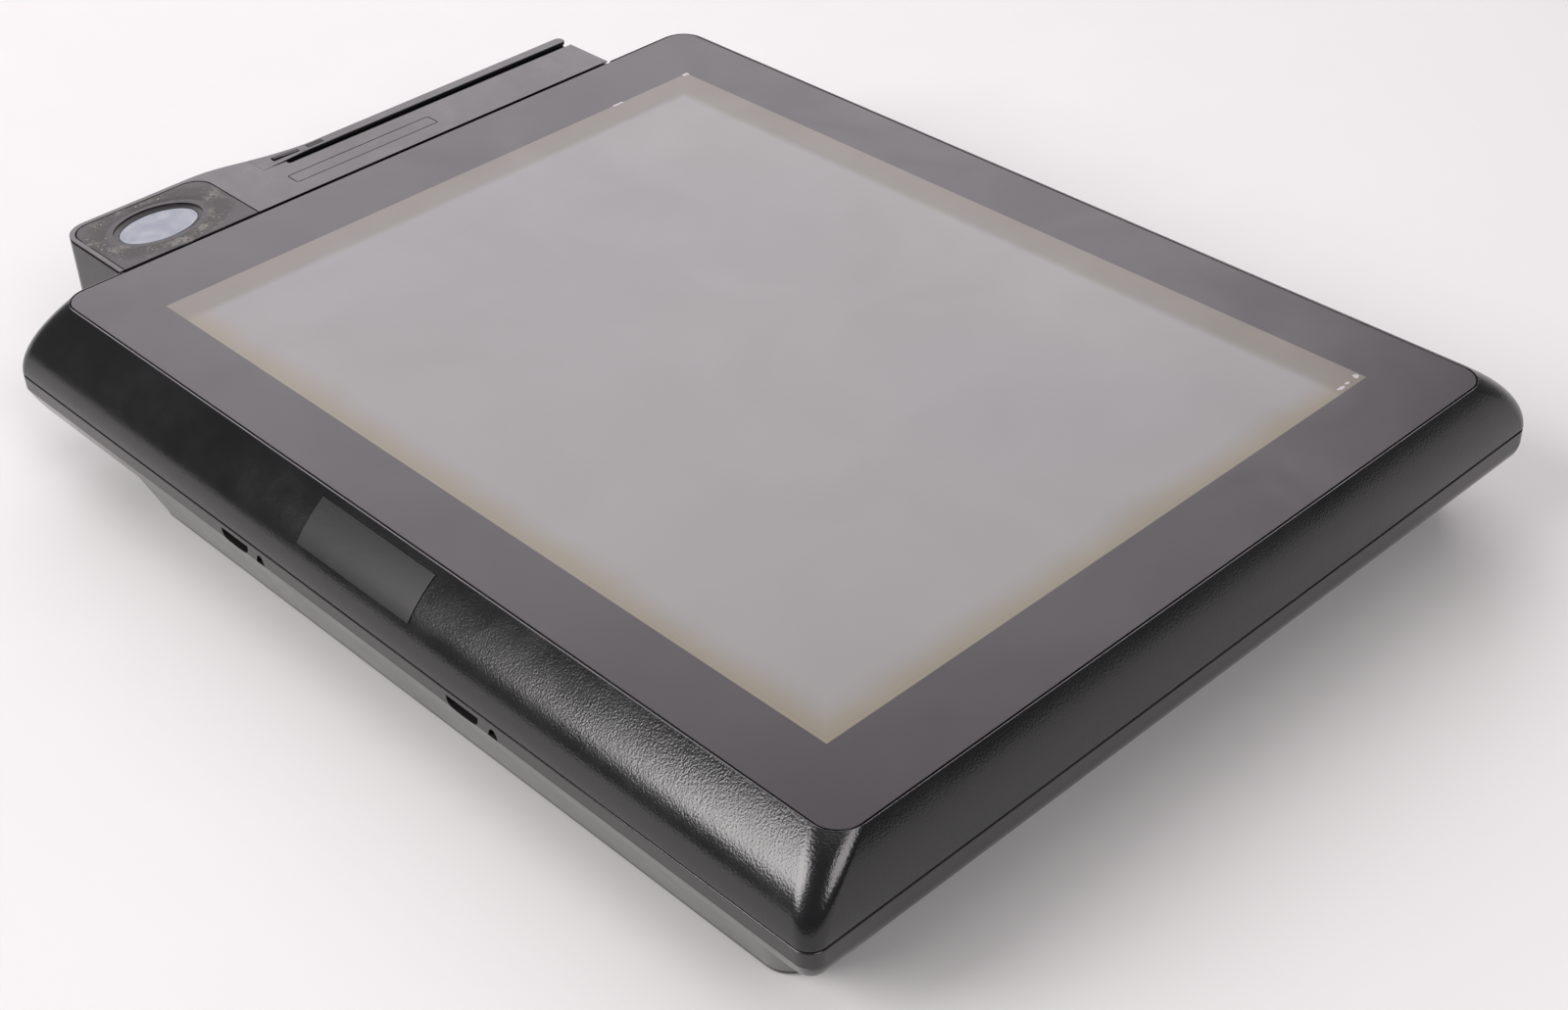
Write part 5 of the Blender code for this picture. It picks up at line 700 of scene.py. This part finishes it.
def band_outline(inset_x, inset_y):
    """The head's outline drawn in from its sides."""
    x = HEAD_X - inset_x
    y = HEAD_Y - inset_y
    return rounded(-x, x, -y, y, max(HEAD_CORNER - min(inset_x, inset_y), 4.0))


def housing_outline(level, wall=0.0):
    """The housing's outline, drawn in by its drafts in step with the depth below the flat back."""
    share = 1 - level / BACK
    left, right, near, far = HOUSING
    drafts = [draft * share + wall for draft in HOUSING_DRAFT]
    return rounded(left + drafts[0], right - drafts[1], near + drafts[2], far - drafts[3],
                   max(HOUSING_CORNER - wall, HOUSING_EDGE))


def hook_outline(x):
    """A hook slot and, beside it, a small pointed notch.

    The slot has a flat top and a bellied lower edge, 4.2 mm times the sine of the angle to the power 0.6 deep.
    """
    angle = np.linspace(0, np.pi, 41)
    belly = np.stack([x - 7.0 * np.cos(angle), 31.3 - 4.2 * np.maximum(np.sin(angle), 0.0) ** 0.6], 1)
    nib = np.array([(2.1, 0.0), (1.6, 1.7), (0.8, 2.8), (0.0, 3.1), (-0.8, 2.8), (-1.6, 1.7), (-2.1, 0.0)])
    return belly, nib + (x + 13.2, BAND_CREASE)


def build_rear_cover():
    """Rear cover: rings down the band, over its lower edge, over the flat back and down the housing.

    Below the crease the two short sides follow a quarter circle and the two long ones a straight
    chamfer: their inset is 3.1 mm times the sine of the angle, in step with the level.
    """
    edge = 0.4
    outer = []
    for angle in np.radians(np.linspace(0, 90, 7)):
        outline = inward(band_outline(0.0, 0.0), edge * (1 - math.sin(angle)))
        outer.append(ring(outline, BAND_TOP - edge * (1 - math.cos(angle))))
    for angle in np.radians(np.linspace(0, 90, 13)):
        outline = band_outline(BAND_ROUND * (1 - math.cos(angle)), BAND_INSET_Y * math.sin(angle))
        outer.append(ring(outline, BAND_CREASE - BAND_ROUND * math.sin(angle)))
    outer += [ring(housing_outline(BACK, -0.15), BACK), ring(housing_outline(BACK - 0.15), BACK - 0.15)]
    outer += [ring(housing_outline(level), level) for level in np.linspace(17.0, HOUSING_EDGE, 5)]
    for angle in np.radians(np.linspace(15, 90, 6)):
        inset = HOUSING_EDGE * (1 - math.cos(angle))
        outer.append(ring(housing_outline(HOUSING_EDGE, inset), HOUSING_EDGE * (1 - math.sin(angle))))
    lip = BEZEL_WALL + 0.5
    inner = [ring(band_outline(lip, lip), BAND_TOP), ring(band_outline(lip, lip), 34.7),
             ring(band_outline(lip + 1.2, lip + 1.2), 34.7), ring(band_outline(lip + 1.2, lip + 1.2), 28.0),
             ring(band_outline(BAND_ROUND, BAND_INSET_Y + 1.2), BACK_FLOOR),
             ring(housing_outline(BACK, COVER_WALL), BACK_FLOOR),
             ring(housing_outline(COVER_WALL, COVER_WALL), COVER_WALL)]
    cover = solid("rear_shell", outer[::-1] + inner)
    stands = [bore(x, y, 4.5, COVER_WALL - 0.5, 38.7) for x, y in POSTS]
    stands += [block((63.2, near, COVER_WALL - 0.3), (153.2, near + 1.2, 11.5)) for near in DRIVE_RUNNERS]
    stands += [block((x - 2.0, BUTTON[1] - 2.0, BACK_FLOOR - 0.3), (x + 2.0, BUTTON[1] + 2.0, 31.4))
               for x in (BUTTON[0] - 10.0, BUTTON[0] + 10.0)]
    carve(cover, stands, "UNION")
    carve(cover, [bore(x, y, 3.6, BELOW, 27.0) for x, y in POSTS])
    carve(cover, [bore(x, y, SCREW_HOLE, 26.5, 40.2) for x, y in POSTS])
    floor_cut = (BELOW, COVER_WALL - BELOW)
    cuts = [bore(x, y, 2.4, *floor_cut) for x in MOUNT_HOLES for y in MOUNT_HOLES]
    for middle, count, length in VENTS:
        near, far = VENT_MIDDLE_Y - length / 2, VENT_MIDDLE_Y + length / 2
        for step in range(count):
            x = middle + VENT_PITCH * (step - (count - 1) / 2)
            cuts.append(prism(rounded(x - 1, x + 1, near, far, 0.98, 8), *floor_cut))
    cuts.append(bore(*BUTTON, 5.1, 18.0, 26.5))
    for x in HOOKS:
        cuts += [prism(outline, -157.0, -146.0, "y") for outline in hook_outline(x)]
    carve(cover, cuts)
    near_left, far_right = CABLE_OPENING
    carve(cover, [block((*near_left, BELOW), (*far_right, CABLE_OPENING_TOP)), block(*DRIVE_OPENING)])
    dress(cover, COVER_ABS, "black_abs", "rear_cover", angle=19)


def build_back_pieces():
    """Cable cover, drive tray and power button, with softened edges."""
    dress(softened("cable_cover", 0.5, 3), COVER_ABS, "black_abs", "cable_cover", body="cable_cover")
    dress(softened("drive_tray", 0.25, 2), COVER_ABS, "black_abs", "drive_tray", body="drive_tray")
    profile = [(0.01, 20.32), (2.2, 20.28), (3.6, 20.2), (4.2, 20.24), (4.5, 20.42), (4.6, 20.8),
               (4.6, 23.8), (6.0, 23.8), (6.0, 25.0), (2.0, 25.0), (2.0, 26.6), (0.01, 26.6)]
    dress(turned("button_cap", BUTTON, profile), MODULE_ABS, "black_abs", "power_button", body="power_button")


# Reader module

def outer_edge(y):
    """The module's outer side: its reach falls from 33.5 to 23.5 mm by half a cosine wave at the waist."""
    share = np.clip((np.asarray(y, float) - WAIST_START) / WAIST_LENGTH, 0, 1)
    return -HEAD_X - WIDE_REACH + (WIDE_REACH - SLIM_REACH) * (1 - np.cos(np.pi * share)) / 2


def waist(first=WAIST_START):
    """Points of the outer side along the waist."""
    y = np.linspace(max(first, WAIST_START), WAIST_START + WAIST_LENGTH, 33)
    return np.stack([outer_edge(y), y], 1)


def module_outline(inner, wall=0.0):
    """The module seen from above: round near corner, waist, and a tight far corner, up to a straight side."""
    near_left = outer_edge(MODULE_NEAR)
    far_left = outer_edge(MODULE_FAR)
    tight = max(2.0 - wall, 0.5)
    return np.concatenate([[(inner, MODULE_NEAR + wall)],
                           arc(near_left + 9.0, MODULE_NEAR + 9.0, 9.0 - wall, 270, 180), waist() + (wall, 0.0),
                           arc(far_left + wall + tight, MODULE_FAR - wall - tight, tight, 180, 90, 6),
                           [(inner, MODULE_FAR - wall)]])


def build_module_case():
    """The module's case: a tub whose inner side follows the bezel's slope."""
    case = slab("reader_case", module_outline(-RIM_X), MODULE_LOW, CASE_TOP, 0.12, 1.0)
    inner = -HEAD_X - 2.3
    floor = MODULE_LOW + 2.0
    carve(case, [prism(module_outline(inner, 2.0), floor, 56.0)])
    stands = [block((-206.4, y - 2.0, floor - 0.3), (-200.4, y + 2.0, 38.5)) for y in (-17.95, 34.25, 86.45)]
    stands += [block((inner - 9.0, y - 4.0, floor - 0.3), (inner + 0.3, y + 4.0, floor + 10.5))
               for y in MODULE_SCREWS_Y]
    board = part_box("scanner_sensor")[0].z / MM - 0.3
    stands += [bore(-200.7, y, 2.2, floor - 0.3, board) for y in (-101.8, -72.2)]
    carve(case, stands, "UNION")
    grown = [slope_ring(share, -0.3) for share in np.linspace(0.0, 1.0, 25)]
    envelope = [ring(grown[0][:, :2], MODULE_LOW - 3)] + grown + [ring(grown[-1][:, :2], ABOVE)]
    carve(case, [solid("cutter", envelope)])
    carve(case, [block((SLOT_OUTER - 2.3, 94.5, 38.5), (SLOT_INNER + 2.3, 103.0, 56.0)),
                 prism(oval(WINDOW, *CASE_OPENING), 50.7, 55.9)])
    carve(case, [bore(y, MODULE_SCREWS_Z, SCREW_HOLE, -195.0, -183.0, "x") for y in MODULE_SCREWS_Y]
          + [bore(*CABLE_HOLE, CABLE_HOLE_RADIUS, -191.3, -183.0, "x")])
    dress(case, MODULE_ABS, "black_abs", "module_case")


def scanner_outline(grow, inner):
    """The scanner plate seen from above, with round corners on its outer side."""
    left = SCANNER_LEFT - grow
    near = SCANNER_NEAR - grow
    far = SCANNER_FAR + grow
    radius = SCANNER_CORNER
    return np.concatenate([[(inner, near)], arc(left + radius, near + radius, radius, 270, 180),
                           arc(left + radius, far - radius, radius, 180, 90), [(inner, far)]])


def rail_outline(inset):
    """The guard rail: its outer side follows the module's waist, and its far end is round."""
    far_left = outer_edge(MODULE_FAR)
    start = outer_edge(RAIL_START)
    bend = waist(RAIL_START + 0.5)
    outline = np.concatenate([[(SLOT_OUTER, RAIL_START), (start, RAIL_START)], bend,
                              arc(far_left + RAIL_BEND, MODULE_FAR - RAIL_BEND, RAIL_BEND, 180, 90, 8),
                              arc(SLOT_OUTER - RAIL_BEND, MODULE_FAR - RAIL_BEND, RAIL_BEND, 90, 0, 8)])
    return inward(outline, inset)


def build_lid():
    """The module's lid with its openings, the plain inlay and the guard rail with its two windows.

    The lid is a thin plate that covers the case's rim, with a thicker step inside the rim.
    """
    outline = module_outline(LID_INNER)
    step = module_outline(-190.5, 2.4)
    rings = [ring(step, LID_LOW), ring(step, LID_EDGE), ring(inward(outline, 0.1), LID_EDGE),
             ring(outline, LID_EDGE + 0.1)]
    rings += [ring(inward(outline, 0.15 * (1 - math.cos(a))), LID_TOP - 0.15 * (1 - math.sin(a)))
              for a in np.radians(np.linspace(0, 90, EDGE_STEPS + 1))]
    lid = solid("reader_lid", rings)
    gap = rail_outline(-0.12)
    past = gap[:, 0] < SLOT_OUTER - 0.5
    gap[past, 0] -= 3.0
    gap[gap[:, 1] > MODULE_FAR - 2.5, 1] += 4.0
    slot = np.concatenate([arc(SLOT_MIDDLE, SLOT_START + SLOT_HALF, SLOT_HALF, 180, 360),
                           [(SLOT_INNER, MODULE_FAR + 3), (SLOT_OUTER, MODULE_FAR + 3)]])
    carve(lid, [prism(scanner_outline(0.3, LID_INNER + 3), *LID_CUT), prism(slot, *LID_CUT)])
    carve(lid, [prism(gap, *LID_CUT)])
    carve(lid, [prism(rounded(*INLAY_OPENING, 1.0, 8), 54.5, LID_CUT[1])])
    dress(lid, MODULE_ABS, "black_abs", "module_lid", angle=30)
    inlay = rounded(*INLAY, 0.7, 8)
    dress(slab("plain_inlay", inlay, 54.8, LID_TOP, 0.12, 0.05, 3), MODULE_ABS, "plate_black", "reader_inlay")
    rail = slab("swipe_rail", rail_outline(0.0), LID_EDGE - 0.1, RAIL_TOP, 0.4, 0.1)
    ramp = np.array([(RAIL_START - 3, LID_TOP - 0.12), (RAMP_END, RAIL_TOP), (RAMP_END, ABOVE),
                     (RAIL_START - 3, ABOVE)])
    carve(rail, [prism(ramp, -222.0, -200.0, "x")])
    windows = []
    for y, length in STATUS_WINDOWS:
        ends = np.array([y - length / 2 - 0.3, y + length / 2 + 0.3])
        x = (outer_edge(ends) + SLOT_OUTER) / 2
        half = 1.15
        windows.append(np.array([(x[0] - half, ends[0]), (x[0] + half, ends[0]),
                                 (x[1] + half, ends[1]), (x[1] - half, ends[1])]))
    bar = np.array([windows[0][0], windows[0][1], windows[0][2], windows[1][2], windows[1][3], windows[0][3]])
    carve(rail, [prism(bar, LID_CUT[0], 54.95)])
    carve(rail, [prism(window, 54.3, 59.0) for window in windows])
    dress(rail, MODULE_ABS, "black_abs", "guard_rail", angle=30)


def build_scanner():
    """Scanner plate: rings of one set of directions from the window's hole over the dish to the plate's edge.

    Between the hole and the lip both half axes grow evenly. The level falls below the lid by the dish's
    depth times the share left to the lip to the power 1.4. Past the lip the rings blend evenly into the
    plate's outline.
    """
    shape = scanner_outline(0.0, LID_INNER) - WINDOW
    corner_turns = np.arctan2(shape[:, 1], shape[:, 0])
    turns = np.unique(np.round(np.concatenate([np.linspace(-np.pi, np.pi, 180, endpoint=False),
                                               corner_turns]), 5))
    dense = np.concatenate([shape, shape[:1]])
    steps = np.linspace(0, 1, 60)[:, None]
    dense = np.concatenate([a + (b - a) * steps for a, b in zip(dense[:-1], dense[1:])])
    angle = np.arctan2(dense[:, 1], dense[:, 0])
    order = np.argsort(angle)
    reach = np.interp(turns, angle[order], np.hypot(dense[:, 0], dense[:, 1])[order], period=2 * np.pi)

    def oval_ring(half_x, half_y, level):
        """The oval's reach in each direction is 1 over the length of the direction scaled by its half axes."""
        size = 1 / np.hypot(np.cos(turns) / half_x, np.sin(turns) / half_y)
        return np.stack([size * np.cos(turns), size * np.sin(turns), np.full(len(turns), level)], 1)

    floor = LID_TOP - DISH_DEPTH
    hole = (WINDOW_WIDTH / 2 + WINDOW_GAP, WINDOW_LENGTH / 2 + WINDOW_GAP)
    rings = []
    for share in np.linspace(0, 1, 15):
        half_x = hole[0] + (DISH_WIDTH - WINDOW_WIDTH) / 2 * share
        half_y = hole[1] + (DISH_LENGTH - WINDOW_LENGTH) / 2 * share
        rings.append(oval_ring(half_x, half_y, floor + DISH_DEPTH * (1 - (1 - share) ** 1.4)))
    lip = rings[-1]
    edge = np.stack([reach * np.cos(turns), reach * np.sin(turns), np.full(len(turns), LID_TOP)], 1)
    soft = edge.copy()
    soft[:, :2] *= (1 - 0.3 / reach)[:, None]
    rings += [lip + (soft - lip) * share for share in (0.33, 0.66, 1.0)]
    for drop, out in ((0.05, 0.18), (0.16, 0.06), (0.3, 0.0)):
        row = edge.copy()
        row[:, :2] *= (1 - out / reach)[:, None]
        row[:, 2] = LID_TOP - drop
        rings.append(row)
    foot = edge.copy()
    foot[:, 2] = LID_EDGE
    rings += [foot, oval_ring(*BOSS, LID_EDGE), oval_ring(*BOSS, WINDOW_LOW), oval_ring(*hole, WINDOW_LOW)]
    rings = np.array(rings) + (*WINDOW, 0.0)
    dress(solid("dished_plate", rings, closed=True), DIRTY_PLATE, "black_abs", "scanner_plate", angle=40)
    dress(slab("sensor_window", oval(WINDOW, WINDOW_WIDTH, WINDOW_LENGTH), WINDOW_LOW, WINDOW_TOP, 0.15, 0.1),
          SENSOR_GLASS, "scanner_glass", "scanner_window")


def finish_nodes():
    """The CAD pieces that keep their shape get the finish of the real material."""
    finishes = {
        BOARD: ("mainboard", "memory_module", "drive_backplane", "touch_board", "backlight_driver",
                "button_board", "reader_board"),
        STEEL: ("panel_frame", "chassis", "mount_plate", "port_bracket"),
        SCREW_METAL: tuple(name for name in NODES if "screw" in name),
        CAST: ("heat_sink", "drive"),
        SOCKET_BLACK: ("power_inlet", "serial_port", "monitor_port", "network_port", "usb_ports", "drawer_port",
                       "processor", "speaker_left", "speaker_right", "slot_liner", "scanner_sensor"),
        BATTERY: ("clock_battery",),
        PANEL_GREY: ("panel_cell",),
        LIGHT_SHEET: ("backlight",),
        FOAM: ("glass_tape",),
        SMOKED: ("light_guide",),
        BRASS: ("head_spring",),
        plain_metal("polished_read_head", "#B9BBBD", 0.25): ("read_head",),
        JACKET: ("driver_cable", "module_cable"),
    }
    for finish, names in finishes.items():
        for name in names:
            mesh = NODES[name].data
            mesh.materials.clear()
            mesh.materials.append(finish)


# Table, lamps and camera

def build_table():
    """A wide square of white table."""
    mesh = bpy.data.meshes.new("table_top")
    half = 14.0
    mesh.from_pydata([(-half, -half, 0.0), (half, -half, 0.0), (half, half, 0.0), (-half, half, 0.0)], [],
                     [(0, 1, 2, 3)])
    table = bpy.data.objects.new("table_top", mesh)
    bpy.context.scene.collection.objects.link(table)
    mesh.materials.append(white_table())


def add_lamp(name, azimuth, height, distance, size, radiance, tint=(1.0, 0.962, 0.975)):
    """A soft rectangular lamp that faces the object, its azimuth turned from +X towards +Y.

    Its power is four times its radiance times its area.
    """
    turn, rise = math.radians(azimuth), math.radians(height)
    aim = Vector((math.cos(rise) * math.cos(turn), math.cos(rise) * math.sin(turn), math.sin(rise)))
    lamp = bpy.data.lights.new(name, "AREA")
    lamp.shape = "RECTANGLE"
    lamp.size, lamp.size_y = size
    lamp.energy = 4 * radiance * size[0] * size[1]
    lamp.color = tint
    holder = bpy.data.objects.new(name, lamp)
    holder.location = aim * distance + Vector((0.0, 0.0, 0.05))
    holder.rotation_euler = aim.to_track_quat("Z", "Y").to_euler()
    bpy.context.scene.collection.objects.link(holder)


def build_light():
    """A key from the near left, a wide lamp at the far left, one each at the right and above, a dim room."""
    add_lamp("key_lamp", 247.5, 35.5, 3.5, (1.7, 1.85), 8.4, (1.0, 0.97, 0.968))
    add_lamp("back_lamp", 148, 33, 3.0, (3.3, 1.6), 2.25, (1.0, 0.935, 0.985))
    add_lamp("side_lamp", -8, 40, 3.2, (1.44, 1.5), 4.4)
    add_lamp("top_lamp", 30, 80, 2.5, (2.2, 2.2), 0.7)
    world = bpy.data.worlds.new("dim_room")
    bpy.context.scene.world = world
    world.use_nodes = True
    tree = world.node_tree
    tree.nodes.clear()
    even = add_node(tree, "ShaderNodeBackground", sockets={"Color": linear("#FBFAFA"), "Strength": 0.17})
    add_node(tree, "ShaderNodeOutputWorld", sockets={"Surface": even.outputs[0]})


def build_camera():
    """The photograph's camera: 55 mm on a 36 mm sensor, from the near right."""
    lens = bpy.data.cameras.new("photo_camera")
    lens.sensor_width = 36.0
    lens.lens = 54.955
    lens.shift_x = 0.01875
    camera = bpy.data.objects.new("photo_camera", lens)
    camera.matrix_world = Matrix(((0.6872396, -0.4078046, 0.60116316, 0.48885),
                                  (0.72544204, 0.4284419, -0.53867559, -0.42105),
                                  (-0.0378891, 0.80630822, 0.59028084, 0.45308), (0.0, 0.0, 0.0, 1.0)))
    lens.clip_start = 0.02
    lens.clip_end = 30.0
    bpy.context.scene.collection.objects.link(camera)
    bpy.context.scene.camera = camera


build_camera()
build_light()
build_table()
build_glass()
build_bezel()
build_label_plate()
build_rear_cover()
build_back_pieces()
build_module_case()
build_lid()
build_scanner()
finish_nodes()
bpy.context.scene.view_settings.view_transform = "Standard"
